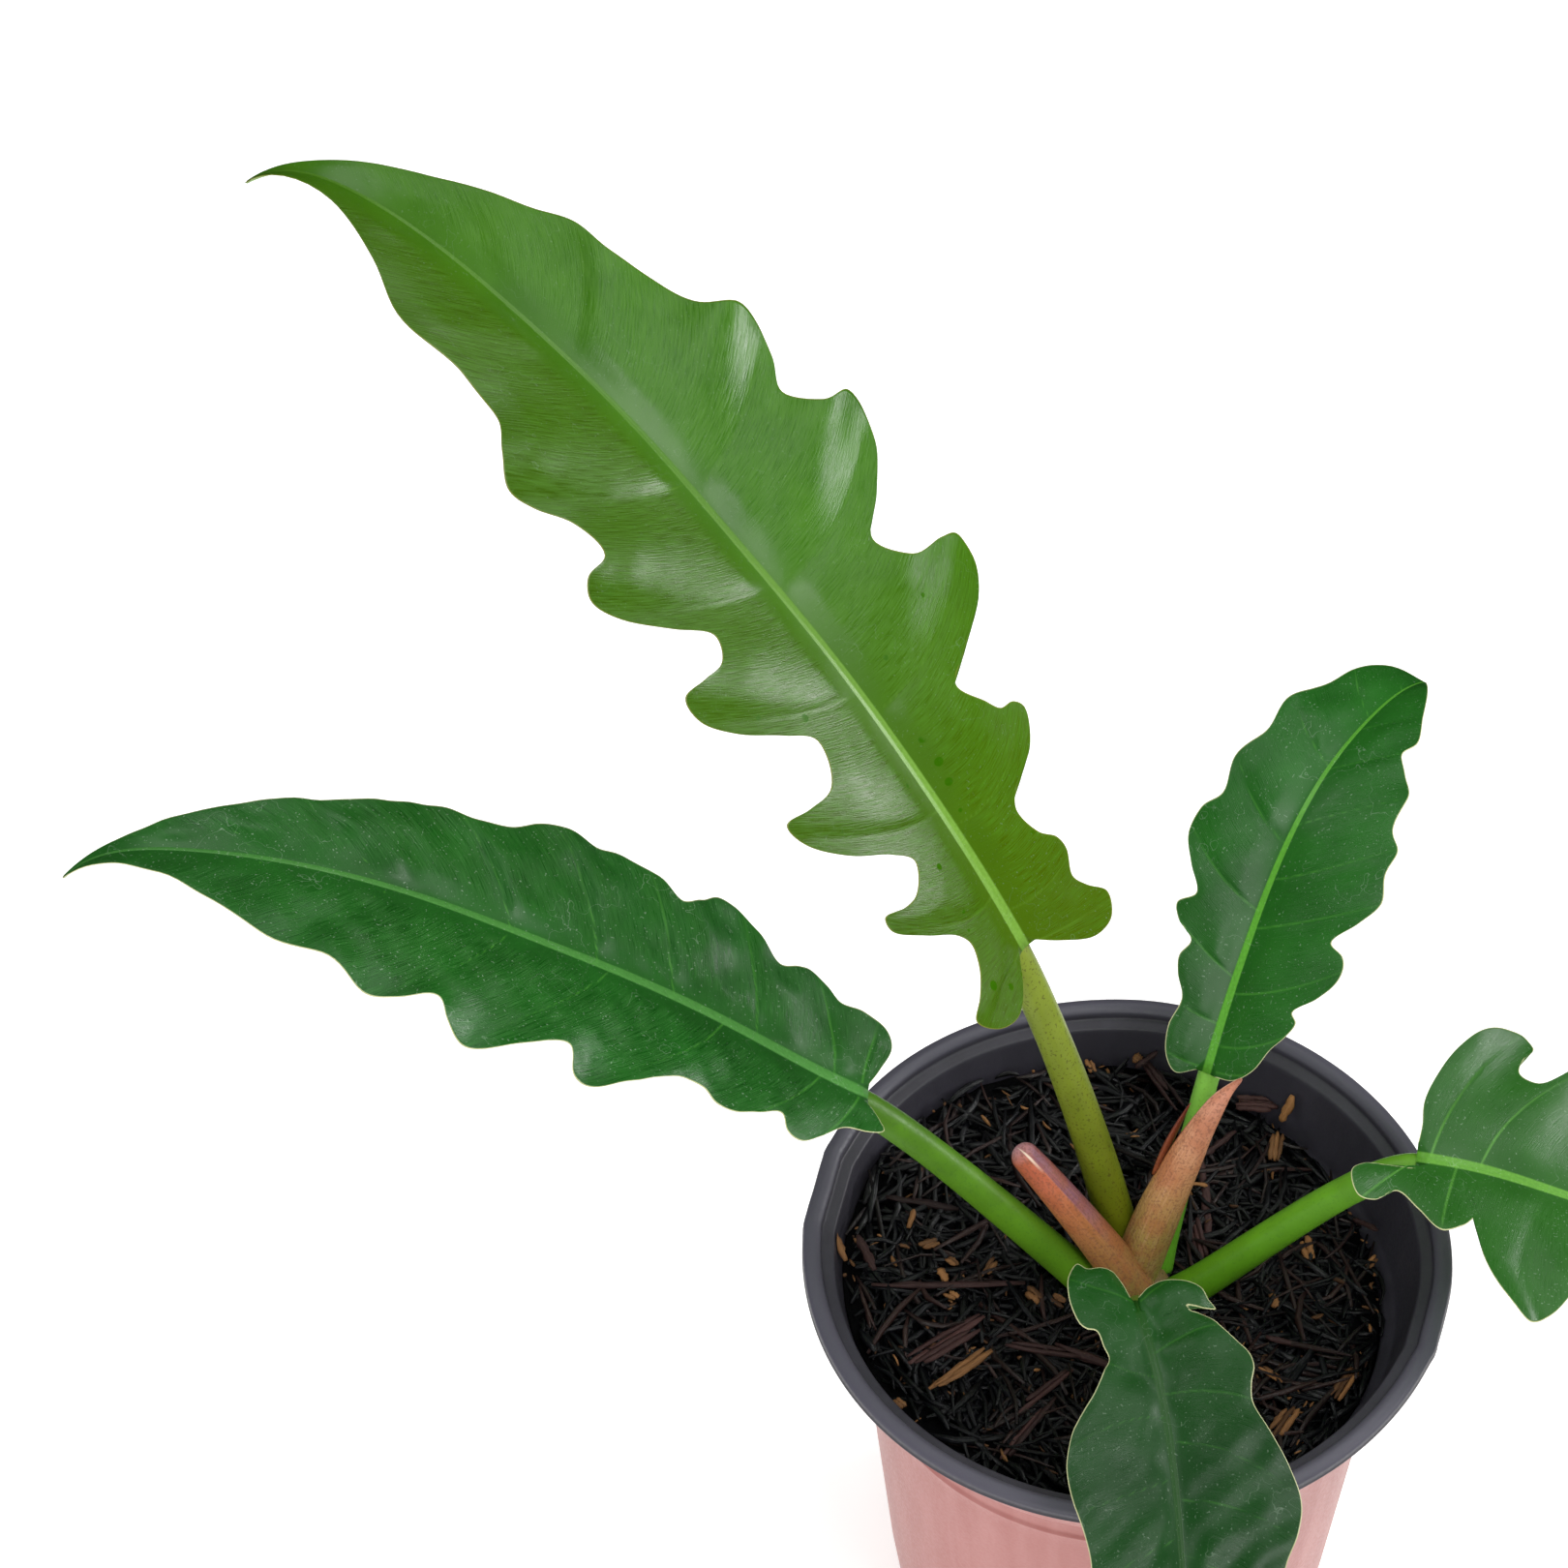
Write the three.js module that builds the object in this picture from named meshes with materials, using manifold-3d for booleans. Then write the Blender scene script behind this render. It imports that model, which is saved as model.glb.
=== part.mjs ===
// A young potted philodendron: five wavy-edged leaves on long stalks, two pink leaf sheaths and
// a short stem, standing in a dark husk mix in a thin thermoformed pot 150 mm across its lip.
// Millimetres, +Z up. The origin is the middle of the flat underside of the pot.

import * as THREE from "three";
import * as BufferGeometryUtils from "three/addons/utils/BufferGeometryUtils.js";
import Module from "manifold-3d";

const wasm = await Module();
wasm.setup();

// Pot: outer wall as [radius, height], then the same wall from the inside, one sheet about 1 mm thick.
// The lip is a flat ring with a turned-down skirt, joined to the wall by a short neck and a ledge
const POT_HEIGHT = 133;
const LIP_RADIUS = 75;
const LIP_SKIRT = 3.4;
const LIP_THICKNESS = 1.3;
const NECK_RADIUS = 70.5;
const NECK_DEPTH = 3;
const POT_WALL = 1;
const POT_SIDES = 44;
const FLOOR_DISC_RADIUS = 34;
const FLOOR_CHANNEL = [36, 44];
const FLOOR_CHANNEL_RISE = 3;
const FOOT_RING = [45.4, 47];
const DRAIN_HOLES = 8;
const DRAIN_RADIUS = 3.5;
const WALL_OUTSIDE = [[50, 6], [53, 28], [56.5, 63], [61.3, 110], [64.3, 112.4], [68.3, 128.7]];

// Potting mix: a plug that fills the pot to under its lip, heaped up to the left, with husk sticks
// on top. MIX_SLOPE is its rise per mm toward +X and toward +Y
const MIX_TOP = 118;
const MIX_SLOPE = [-0.105, 0.035];
const MIX_GAP = 0.3;
const MIX_SIDES = 36;
const MIX_RINGS = [61, 51, 40, 28, 15];
const MIX_BUMP = 1.3;
const STICK_COUNT = 38;
const STICK_LENGTH = [8, 17];
const STICK_THICKNESS = [1.6, 2.4];
const FLAKE_COUNT = 8;
const FLAKE_SIZE = [11, 4.5, 1.4];
const MIX_SEED = 41;

// Stem: a short stub that the leaf stalks clasp
const STEM_CENTRE = [3, 0];
const STEM_RADIUS = 9;
const STEM_BOTTOM = 96;
const STEM_TOP = 122;

// Clearance kept between separate pieces that touch
const SEAT = 0.3;

// Leaf blades: a thin sheet with a keel under the midrib
const BLADE_THICKNESS = 0.8;
const RIB_HALF_WIDTH = 2.6;
const RIB_RAISE = 0.5;
const KEEL_DEPTH = 3;
const ACROSS = 3;
const VEIN_SLANT = 0.5;
const STALK_SIDES = 8;
const STALK_RINGS = 11;
const STALK_OVERLAP = 1.7;
const STALK_TAIL = 20;

const LEAF_GREEN = 0x2f6b2c;
const YOUNG_GREEN = 0x5f8d33;

// Each leaf. stalk: foot on the stem, direction there (climb and heading in degrees), radii at foot
// and blade. base: where the blade begins. climb and heading: how the midrib points, evenly spaced
// from base to tip. fold: degrees that the two halves rise from the midrib. sag: droop of a half per
// mm squared. ruffle: edge wave height, spacing and place of a low point for the left and right half.
// left and right: the edge of each half as [along the midrib, out from it].
const LEAVES = {
  leaf_tall: {
    colour: YOUNG_GREEN,
    edgeSamples: 2,
    stalk: { foot: [1, 8, 117], climb: 77, heading: 150, radii: [4.8, 3.9] },
    base: [-25.7, 19.6, 217.9],
    length: 264,
    climb: [55, 49, 44, 37, 35, 26, 19, -2, -48],
    heading: [143, 143, 145],
    fold: 14,
    sag: 0.002,
    ruffle: { height: 1.8, spacing: 31, low: [43, 28] },
    left: [
      [0, 3], [-5, 8], [-8, 15], [-6, 22], [0, 26.5], [3, 22], [7, 17], [12, 15], [16, 17],
      [22, 25], [29, 33], [33, 33.5], [31, 27], [31, 22], [36, 16.5], [41, 21], [48, 31],
      [56, 38], [63, 40], [62, 33], [62, 25], [71, 19.5], [77, 26], [84, 35], [92, 41],
      [98, 41.5], [98, 35], [98, 28], [103, 24], [110, 31], [119, 39], [127, 43], [131, 41],
      [132, 34], [141, 33], [149, 37], [156, 39], [162, 35], [168, 28], [180, 25], [195, 26],
      [212, 16], [230, 6.5], [264, 0.4],
    ],
    right: [
      [0, 3], [-4, 8], [-8, 15], [-7, 21], [-2, 24], [2, 21], [6, 19], [12, 21], [16, 20],
      [20, 16.5], [27, 15], [31, 18], [36, 27], [43, 32], [46, 30], [47, 26], [51, 23],
      [58, 19.5], [62, 25], [69, 37], [76, 43.5], [82, 44.5], [84, 40], [86, 30], [94, 25],
      [101, 34], [109, 43], [117, 46], [122, 44], [124, 37], [131, 32], [138, 37], [145, 39.5],
      [151, 38], [157, 31], [167, 28.5], [179, 25], [189, 25], [200, 19.5], [220, 11.5],
      [232, 7], [243, 3.4], [253, 1.5], [264, 0.4],
    ],
  },
  leaf_left: {
    colour: LEAF_GREEN,
    edgeSamples: 1,
    stalk: { foot: [-5, -1, 117], climb: 52, heading: 178, radii: [4.4, 3.6] },
    base: [-60.2, 2.6, 186.4],
    length: 200,
    climb: [31, 36, 31, 25, 23, 14, 2, -13, -53],
    heading: [174, 170],
    fold: 12,
    sag: 0.002,
    ruffle: { height: 1.5, spacing: 25, low: [28, 30] },
    left: [
      [0, 3], [-3, 7], [-4, 10], [0, 12.5], [6, 14], [12, 20], [17, 24], [21.5, 24], [23.5, 20.5],
      [30, 24], [35, 26.5], [39.5, 26], [43, 23.5], [50, 25], [60, 32], [69, 36.5], [73, 35],
      [75.5, 29], [84, 33], [91, 36.5], [98, 38], [103, 35], [106, 30], [114, 32.5], [121, 33],
      [131, 27], [145, 23.5], [163, 12], [181, 4.5], [200, 0.4],
    ],
    right: [
      [0, 3], [-2, 8], [-3.5, 14], [-1, 18.5], [5, 20], [11, 20], [15, 23], [20, 24.5], [24, 23],
      [29, 21], [36, 26], [42, 30.5], [47, 30.5], [51, 27], [55.5, 24], [62, 28], [70, 30.5],
      [78, 28.5], [86, 30], [92, 30], [98, 25.5], [106, 23.5], [115, 24.5], [127, 21],
      [140, 18], [155, 14], [170, 9], [182, 4], [192, 1.6], [200, 0.4],
    ],
  },
  leaf_upright: {
    colour: LEAF_GREEN,
    edgeSamples: 1,
    stalk: { foot: [8, 6, 117], climb: 67, heading: 62, radii: [3.4, 2.6] },
    base: [17.9, 23.5, 168.3],
    length: 122,
    climb: [55, 48, 45, 29, 3, -13, -36],
    heading: [65, 53],
    fold: 10,
    sag: 0.002,
    ruffle: { height: 1.1, spacing: 16.5, low: [41, 38] },
    left: [
      [0, 2.5], [-2, 7], [1, 10], [8, 11.5], [15, 10.4], [20, 13], [24, 14], [28, 12.6],
      [31.5, 17], [35, 18.6], [38.5, 15], [44, 18.5], [50, 22], [56, 21.5], [60.5, 18.4],
      [69, 20.2], [77, 17], [87, 18], [93, 15], [98, 13], [106, 11.5], [113, 9.5], [119, 5.5],
      [122, 0.4],
    ],
    right: [
      [0, 2.5], [1, 7], [5, 11], [11, 13.5], [15, 16], [19, 17.5], [21, 16], [26, 20.5],
      [31, 23.5], [35, 24], [37.5, 23], [39.5, 19.5], [46, 24], [52, 27], [58, 25.5],
      [64, 25.5], [68, 22], [77, 21], [82, 17], [87, 13.3], [92, 14.3], [101, 10.5],
      [112, 5.5], [122, 0.4],
    ],
  },
  leaf_right: {
    colour: LEAF_GREEN,
    edgeSamples: 1,
    stalk: { foot: [11, -3, 117], climb: 44, heading: 2, radii: [4.3, 3.6] },
    base: [64.1, -1.5, 168.5],
    length: 130,
    climb: [-4, -20, -20, -26, -34, -50],
    heading: [-7, -5],
    fold: 8,
    sag: 0.002,
    ruffle: { height: 1.6, spacing: 26, low: [5, 12] },
    left: [
      [0, 3.5], [0.5, 8], [0.5, 14], [3, 22], [7, 30], [12.5, 36.5], [18, 39.5], [23, 40.7],
      [25.5, 38.5], [22.5, 33], [22, 28.5], [26, 26.5], [34, 33], [42, 40], [50, 43], [54, 41],
      [52, 33], [55, 25], [63, 30], [71, 36], [76, 34], [75, 26], [80, 20], [88, 23], [95, 19],
      [105, 11], [119, 3], [130, 0.4],
    ],
    right: [
      [0, 3.5], [-7, 4.5], [-12, 6.5], [-15, 11], [-13, 17], [-9, 16], [-4, 11.5], [1, 16],
      [6.5, 21.5], [11, 19], [14.5, 14.5], [15.5, 26], [20, 35], [27, 39], [33, 35.5],
      [39, 26], [47, 20], [53, 30], [61, 35.5], [66, 32], [68, 23], [76, 18], [85, 23],
      [91, 21], [98, 14], [110, 8], [122, 2.5], [130, 0.4],
    ],
  },
  leaf_front: {
    colour: LEAF_GREEN,
    edgeSamples: 1,
    stalk: { foot: [3, -8, 117], climb: 62, heading: -96, radii: [4.2, 3.4] },
    base: [-0.6, -38.9, 164.9],
    length: 118,
    climb: [2, -11, -23, -32, -42, -60],
    heading: [-77, -86, -84],
    fold: 10,
    sag: 0.002,
    ruffle: { height: 1.3, spacing: 30, low: [5, 31] },
    left: [
      [0, 3.5], [-3, 8], [-5.5, 14], [-4, 19], [0, 22], [4, 21], [3, 17], [7, 16], [13, 19],
      [21, 22], [27, 20], [31, 20], [38, 23], [45, 26], [52, 27.5], [58, 26], [66, 22.5],
      [74, 24], [81, 23.5], [87, 19], [94, 17], [103, 10], [112, 4], [118, 0.4],
    ],
    right: [
      [0, 3.5], [-5, 3.5], [-9, 7], [-13.5, 13], [-8, 16], [-1, 16], [6, 15], [8, 12.5],
      [14.5, 10], [20, 13], [27, 18], [33, 22], [40, 24], [48, 23.5], [56, 21.5], [64, 20.5],
      [72, 22], [80, 21.5], [87, 17], [92, 15.5], [98, 12], [105, 8], [112, 3], [118, 0.4],
    ],
  },
};

// Leaf sheaths: tapered, slightly flattened spindles. radii run evenly from foot to tip
const SHEATHS = {
  sheath_left: {
    colour: 0xb9756a,
    foot: [3.2, -3, 119.5],
    length: 51,
    climb: [58, 54, 50, 48],
    heading: [163, 161],
    radii: [5, 5, 4.8, 4.5, 4.2, 3.9, 3.7, 2.4],
    flatten: 0.85,
  },
  sheath_right: {
    colour: 0xb5836a,
    foot: [2.5, 2, 119],
    length: 62,
    climb: [78, 75, 72, 71, 70, 66, 56, 36, 16],
    heading: [33, 30],
    radii: [5.6, 5.5, 5.3, 4.9, 4.4, 3.8, 3.1, 2.2, 0.7],
    flatten: 0.85,
  },
};

const SHEATH_SIDES = 10;
const SHEATH_RINGS = 11;

// Small helpers

function seededRandom(seed) {
  let state = seed;
  return () => {
    state = (Math.imul(state, 1664525) + 1013904223) >>> 0;
    return state / 4294967296;
  };
}

function smoothValue(values, t) {
  const last = values.length - 1;
  const x = Math.min(Math.max(t, 0), 1) * last;
  const i = Math.min(Math.floor(x), last - 1);
  const f = x - i;
  const at = (k) => values[Math.min(Math.max(k, 0), last)];
  const [a, b, c, d] = [at(i - 1), at(i), at(i + 1), at(i + 2)];
  return 0.5 * (2 * b + (c - a) * f + (2 * a - 5 * b + 4 * c - d) * f * f
    + (3 * b - a - 3 * c + d) * f * f * f);
}

function direction(climb, heading) {
  const e = THREE.MathUtils.degToRad(climb);
  const h = THREE.MathUtils.degToRad(heading);
  return new THREE.Vector3(Math.cos(e) * Math.cos(h), Math.cos(e) * Math.sin(h), Math.sin(e));
}

// A curve in space that starts at a point and turns smoothly through the listed climbs and headings
function walk(start, length, climbs, headings) {
  const steps = 240;
  const points = [new THREE.Vector3(...start)];
  const directions = [direction(climbs[0], headings[0])];
  for (let i = 1; i <= steps; i += 1) {
    const t = i / steps;
    const next = direction(smoothValue(climbs, t), smoothValue(headings, t));
    const middle = next.clone().add(directions[i - 1]).multiplyScalar(0.5 * length / steps);
    points.push(points[i - 1].clone().add(middle));
    directions.push(next);
  }
  return { length, steps, points, directions };
}

// Point, forward, right and up directions at a distance along the curve
function frameAt(path, distance) {
  const x = Math.min(Math.max(distance / path.length, 0), 1) * path.steps;
  const i = Math.min(Math.floor(x), path.steps - 1);
  const point = path.points[i].clone().lerp(path.points[i + 1], x - i);
  const forward = path.directions[i].clone().lerp(path.directions[i + 1], x - i).normalize();
  const right = forward.clone().cross(new THREE.Vector3(0, 0, 1)).normalize();
  const up = right.clone().cross(forward);
  return { point, forward, right, up };
}

function solid(geometry) {
  geometry.deleteAttribute("normal");
  geometry.deleteAttribute("uv");
  const merged = BufferGeometryUtils.mergeVertices(geometry, 1e-4);
  const shape = new wasm.Manifold(new wasm.Mesh({
    numProp: 3,
    vertProperties: new Float32Array(merged.attributes.position.array),
    triVerts: new Uint32Array(merged.index.array),
  }));
  return shape;
}

function largestBody(shape) {
  const bodies = shape.decompose();
  return bodies.reduce((best, body) => (body.volume() > best.volume() ? body : best));
}

function namedMesh(name, shape, colour, roughness) {
  const result = largestBody(shape).getMesh();
  const geometry = new THREE.BufferGeometry();
  geometry.setAttribute("position", new THREE.BufferAttribute(new Float32Array(result.vertProperties), 3));
  geometry.setIndex(new THREE.BufferAttribute(new Uint32Array(result.triVerts), 1));
  geometry.computeVertexNormals();
  const material = new THREE.MeshStandardMaterial({ color: colour, roughness, metalness: 0 });
  const mesh = new THREE.Mesh(geometry, material);
  mesh.name = name;
  return mesh;
}

// A lathe about +Z from [radius, height] points that start and end on the axis
function latheUp(profile, sides) {
  const points = profile.map(([r, z]) => new THREE.Vector2(r, z));
  const geometry = new THREE.LatheGeometry(points, sides);
  geometry.rotateX(Math.PI / 2);
  return geometry;
}

// Leaf edges: a centripetal curve through the listed points
function edgeCurve(points, samples) {
  const curve = new THREE.CatmullRomCurve3(
    points.map(([u, v]) => new THREE.Vector3(u, v, 0)), false, "centripetal");
  const count = (points.length - 1) * samples;
  return Array.from({ length: count + 1 }, (_, k) => {
    const point = curve.getPoint(k / count);
    return [point.x, point.y];
  });
}

// Rows run from the midrib out to the edge, slanted forward along the side veins
function bladeRows(leaf) {
  const samples = leaf.edgeSamples;
  const left = edgeCurve(leaf.left, samples);
  const right = edgeCurve(leaf.right, samples);
  const soften = 8;
  const ramp = (s) => (s + Math.hypot(s, soften)) / 2;
  const smallestStep = 0.3 / samples;
  const starts = [0];
  for (let k = 1; k < left.length; k += 1) {
    const wanted = [left[k], right[k]].map(([u, v]) => ramp(u - VEIN_SLANT * v));
    const middle = (wanted[0] + wanted[1]) / 2 / ramp(leaf.length) * leaf.length;
    starts.push(Math.max(middle, starts[k - 1] + smallestStep));
  }
  starts[starts.length - 1] = leaf.length;
  return starts.map((start, k) => ({ start, left: left[k], right: right[k] }));
}

// Height of the blade above the flat: folded up from the midrib, drooping and ruffled at the edge
function bladeHeight(leaf, side, u, v) {
  const { height, spacing, low } = leaf.ruffle;
  const reach = Math.min(v / 30, 1.3);
  const place = (u - VEIN_SLANT * v - low[side > 0 ? 1 : 0]) / spacing;
  const lift = u < 0 ? 0.02 * u * u : 0;
  return v * Math.sin(THREE.MathUtils.degToRad(leaf.fold)) - leaf.sag * v * v
    - height * reach * reach * Math.cos(2 * Math.PI * place) + lift;
}

function bladePoint(leaf, path, side, u, v, offset) {
  const frame = frameAt(path, u);
  const flat = Math.cos(THREE.MathUtils.degToRad(leaf.fold)) * v * side;
  return frame.point.clone()
    .addScaledVector(frame.forward, Math.min(u, 0))
    .addScaledVector(frame.right, flat)
    .addScaledVector(frame.up, bladeHeight(leaf, side, u, v) + offset);
}

// One row of [side, u, v, top offset, bottom offset] from the left edge over the midrib to the right
function bladeRow(leaf, row) {
  const along = row.start / leaf.length;
  const keel = KEEL_DEPTH * (1 - along) ** 1.3 + 0.2;
  const half = BLADE_THICKNESS / 2;
  const halfRow = (side, [edgeU, edgeV]) => {
    const rib = Math.min(RIB_HALF_WIDTH * (1 - 0.75 * along), 0.5 * edgeV);
    return Array.from({ length: ACROSS }, (_, j) => {
      const f = j / (ACROSS - 1);
      const u = row.start + (edgeU - row.start) * f;
      const v = rib + (edgeV - rib) * f;
      return [side, u, v, half, -half];
    });
  };
  const raise = RIB_RAISE * (1 - 0.8 * along);
  const middle = [1, row.start, 0, half + raise, -half - keel];
  return [...halfRow(-1, row.left).reverse(), middle, ...halfRow(1, row.right)];
}

function bladeGeometry(leaf, path) {
  const rows = bladeRows(leaf).map((row) => bladeRow(leaf, row));
  const width = rows[0].length;
  const positions = [];
  for (const face of [3, 4]) {
    for (const row of rows) {
      for (const item of row) {
        const [side, u, v] = item;
        positions.push(...bladePoint(leaf, path, side, u, v, item[face]).toArray());
      }
    }
  }
  const count = rows.length * width;
  const index = [];
  const quad = (a, b, c, d) => index.push(a, b, c, a, c, d);
  for (let k = 0; k < rows.length - 1; k += 1) {
    for (let j = 0; j < width - 1; j += 1) {
      const a = k * width + j;
      const [b, c, d] = [a + 1, a + width + 1, a + width];
      quad(a, b, c, d);
      index.push(a + count, c + count, b + count, a + count, d + count, c + count);
    }
  }
  const top = (k, j) => k * width + j;
  for (let k = 0; k < rows.length - 1; k += 1) {
    quad(top(k, 0), top(k + 1, 0), top(k + 1, 0) + count, top(k, 0) + count);
    const j = width - 1;
    quad(top(k + 1, j), top(k, j), top(k, j) + count, top(k + 1, j) + count);
  }
  for (let j = 0; j < width - 1; j += 1) {
    quad(top(0, j + 1), top(0, j), top(0, j) + count, top(0, j + 1) + count);
    const k = rows.length - 1;
    quad(top(k, j), top(k, j + 1), top(k, j + 1) + count, top(k, j) + count);
  }
  const geometry = new THREE.BufferGeometry();
  geometry.setAttribute("position", new THREE.Float32BufferAttribute(positions, 3));
  geometry.setIndex(index);
  return geometry;
}

// A round stalk from the stem to under the blade, where it thins out along the midrib
function stalkGeometry(leaf, path, grow) {
  const { foot, climb, heading, radii } = leaf.stalk;
  const base = frameAt(path, STALK_OVERLAP);
  const start = new THREE.Vector3(...foot);
  const end = base.point.clone().addScaledVector(base.up, -radii[1]);
  const reach = start.distanceTo(end);
  const curve = new THREE.CubicBezierCurve3(
    start,
    start.clone().addScaledVector(direction(climb, heading), 0.4 * reach),
    end.clone().addScaledVector(base.forward, -0.17 * reach),
    end,
  );
  const rings = [];
  for (let i = 0; i <= STALK_RINGS; i += 1) {
    const t = i / STALK_RINGS;
    const forward = curve.getTangent(t);
    const right = forward.clone().cross(new THREE.Vector3(0, 0, 1)).normalize();
    const radius = THREE.MathUtils.lerp(radii[0], radii[1], Math.min(1, 1.6 * t));
    rings.push({ point: curve.getPoint(t), forward, right, radius });
  }
  for (let i = 1; i <= 3; i += 1) {
    const frame = frameAt(path, STALK_OVERLAP + STALK_TAIL * i / 3);
    const radius = radii[1] * (1 - 0.27 * i);
    const point = frame.point.clone().addScaledVector(frame.up, -radius);
    rings.push({ point, forward: frame.forward, right: frame.right, radius });
  }
  return ringLoft(rings, STALK_SIDES, 1, grow);
}

// A closed body through round or flattened rings, with a point in the middle of each end
function ringLoft(rings, sides, flatten, grow) {
  const profile = [new THREE.Vector2(0, 0)];
  rings.forEach((_, i) => profile.push(new THREE.Vector2(1, i)));
  profile.push(new THREE.Vector2(0, rings.length - 1));
  const geometry = new THREE.LatheGeometry(profile, sides);
  const position = geometry.attributes.position;
  for (let i = 0; i < position.count; i += 1) {
    const ring = rings[Math.round(position.getY(i))];
    const up = ring.right.clone().cross(ring.forward);
    const point = ring.point.clone()
      .addScaledVector(ring.right, position.getX(i) * (ring.radius + grow))
      .addScaledVector(up, position.getZ(i) * (ring.radius + grow) * flatten);
    position.setXYZ(i, point.x, point.y, point.z);
  }
  return geometry;
}

function sheathGeometry(sheath, grow) {
  const path = walk(sheath.foot, sheath.length, sheath.climb, sheath.heading);
  const rings = [];
  for (let i = 0; i <= SHEATH_RINGS; i += 1) {
    const t = i / SHEATH_RINGS;
    const frame = frameAt(path, t * sheath.length);
    rings.push({ ...frame, radius: smoothValue(sheath.radii, t) });
  }
  return ringLoft(rings, SHEATH_SIDES, sheath.flatten, grow);
}

function stemGeometry(grow) {
  const r = STEM_RADIUS + grow;
  const top = STEM_TOP + grow;
  const geometry = latheUp([
    [0, STEM_BOTTOM - grow], [0.8 * r, STEM_BOTTOM - grow], [r, STEM_BOTTOM + 5], [r, top - 6],
    [0.8 * r, top - 2], [0.4 * r, top], [0, top],
  ], 16);
  geometry.translate(STEM_CENTRE[0], STEM_CENTRE[1], 0);
  return geometry;
}

function potSolid() {
  const [channelIn, channelOut] = FLOOR_CHANNEL;
  const rise = FLOOR_CHANNEL_RISE;
  const inside = WALL_OUTSIDE.map(([r, z]) => [r - POT_WALL, z]).reverse();
  const lipUnder = POT_HEIGHT - LIP_THICKNESS;
  const skirtEnd = POT_HEIGHT - LIP_SKIRT;
  const ledge = POT_HEIGHT - NECK_DEPTH;
  const profile = [
    [0, 0], [FLOOR_DISC_RADIUS, 0], [channelIn, rise], [channelOut, rise],
    [FOOT_RING[0], 0], [FOOT_RING[1], 0], ...WALL_OUTSIDE,
    [NECK_RADIUS + POT_WALL, ledge - POT_WALL], [NECK_RADIUS + POT_WALL, lipUnder],
    [LIP_RADIUS - 1, lipUnder], [LIP_RADIUS - 1, skirtEnd], [LIP_RADIUS, skirtEnd],
    [LIP_RADIUS, POT_HEIGHT - 0.8], [LIP_RADIUS - 0.8, POT_HEIGHT - 0.1],
    [LIP_RADIUS - 3, POT_HEIGHT], [NECK_RADIUS + 0.3, POT_HEIGHT - 0.2],
    [NECK_RADIUS, ledge], [inside[0][0] + 0.3, ledge - 0.3], ...inside,
    [FOOT_RING[1] - 1.2, POT_WALL], [FOOT_RING[0] - 0.3, POT_WALL],
    [channelOut - 0.3, rise + POT_WALL], [channelIn + 0.3, rise + POT_WALL],
    [FLOOR_DISC_RADIUS + 0.3, POT_WALL], [0, POT_WALL],
  ];
  let pot = solid(latheUp(profile, POT_SIDES));
  for (let i = 0; i < DRAIN_HOLES; i += 1) {
    const angle = 2 * Math.PI * (i + 0.5) / DRAIN_HOLES;
    const radius = (channelIn + channelOut) / 2;
    const hole = new THREE.CylinderGeometry(DRAIN_RADIUS, DRAIN_RADIUS, 12, 12);
    hole.rotateX(Math.PI / 2);
    hole.translate(radius * Math.cos(angle), radius * Math.sin(angle), 3);
    pot = pot.subtract(solid(hole));
  }
  return pot;
}

function mixHeight(x, y) {
  return MIX_TOP + MIX_SLOPE[0] * x + MIX_SLOPE[1] * y;
}

// The inside of the pot, cut off by a bumpy, sloping surface
function mixPlug(random) {
  const [channelIn, channelOut] = FLOOR_CHANNEL;
  const floor = POT_WALL + MIX_GAP;
  const side = WALL_OUTSIDE.map(([r, z]) => [r - POT_WALL - MIX_GAP - 0.15, z]);
  const inside = latheUp([
    [0, floor], [FLOOR_DISC_RADIUS, floor], [channelIn, FLOOR_CHANNEL_RISE + floor],
    [channelOut, FLOOR_CHANNEL_RISE + floor], [FOOT_RING[0], floor], [45.6, floor], ...side,
    [0, side[side.length - 1][1]],
  ], MIX_SIDES);
  const surface = latheUp([
    [0, 0], [LIP_RADIUS, 0], [LIP_RADIUS, MIX_TOP], ...MIX_RINGS.map((r) => [r, MIX_TOP]),
    [0, MIX_TOP],
  ], MIX_SIDES);
  surface.deleteAttribute("normal");
  surface.deleteAttribute("uv");
  const merged = BufferGeometryUtils.mergeVertices(surface, 1e-4);
  const position = merged.attributes.position;
  for (let i = 0; i < position.count; i += 1) {
    const [x, y] = [position.getX(i), position.getY(i)];
    const radius = Math.hypot(x, y);
    const inner = radius < MIX_RINGS[0] + 0.5 && radius > MIX_RINGS[MIX_RINGS.length - 1] + 0.5;
    const bump = inner ? MIX_BUMP * (2 * random() - 1) : 0;
    if (position.getZ(i) > MIX_TOP - 0.1) {
      position.setZ(i, mixHeight(x, y) + bump);
    }
  }
  return solid(inside).intersect(solid(merged));
}

function litterPiece(size, random) {
  const piece = new THREE.BoxGeometry(...size);
  piece.rotateX(random() * Math.PI);
  piece.rotateY((random() - 0.5) * 0.5);
  piece.rotateZ(random() * 2 * Math.PI);
  const angle = random() * 2 * Math.PI;
  const radius = 15 + 38 * Math.sqrt(random());
  const [x, y] = [radius * Math.cos(angle), radius * Math.sin(angle)];
  piece.translate(x, y, mixHeight(x, y) + 0.7);
  return piece;
}

function mixSolid() {
  const random = seededRandom(MIX_SEED);
  const between = ([low, high]) => low + (high - low) * random();
  let mix = mixPlug(random);
  for (let i = 0; i < STICK_COUNT; i += 1) {
    const thickness = between(STICK_THICKNESS);
    mix = mix.add(solid(litterPiece([between(STICK_LENGTH), thickness, thickness], random)));
  }
  for (let i = 0; i < FLAKE_COUNT; i += 1) {
    mix = mix.add(solid(litterPiece(FLAKE_SIZE, random)));
  }
  return mix;
}

// Assembly: each piece is cut back from the ones before it, so that all keep their clearance

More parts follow.
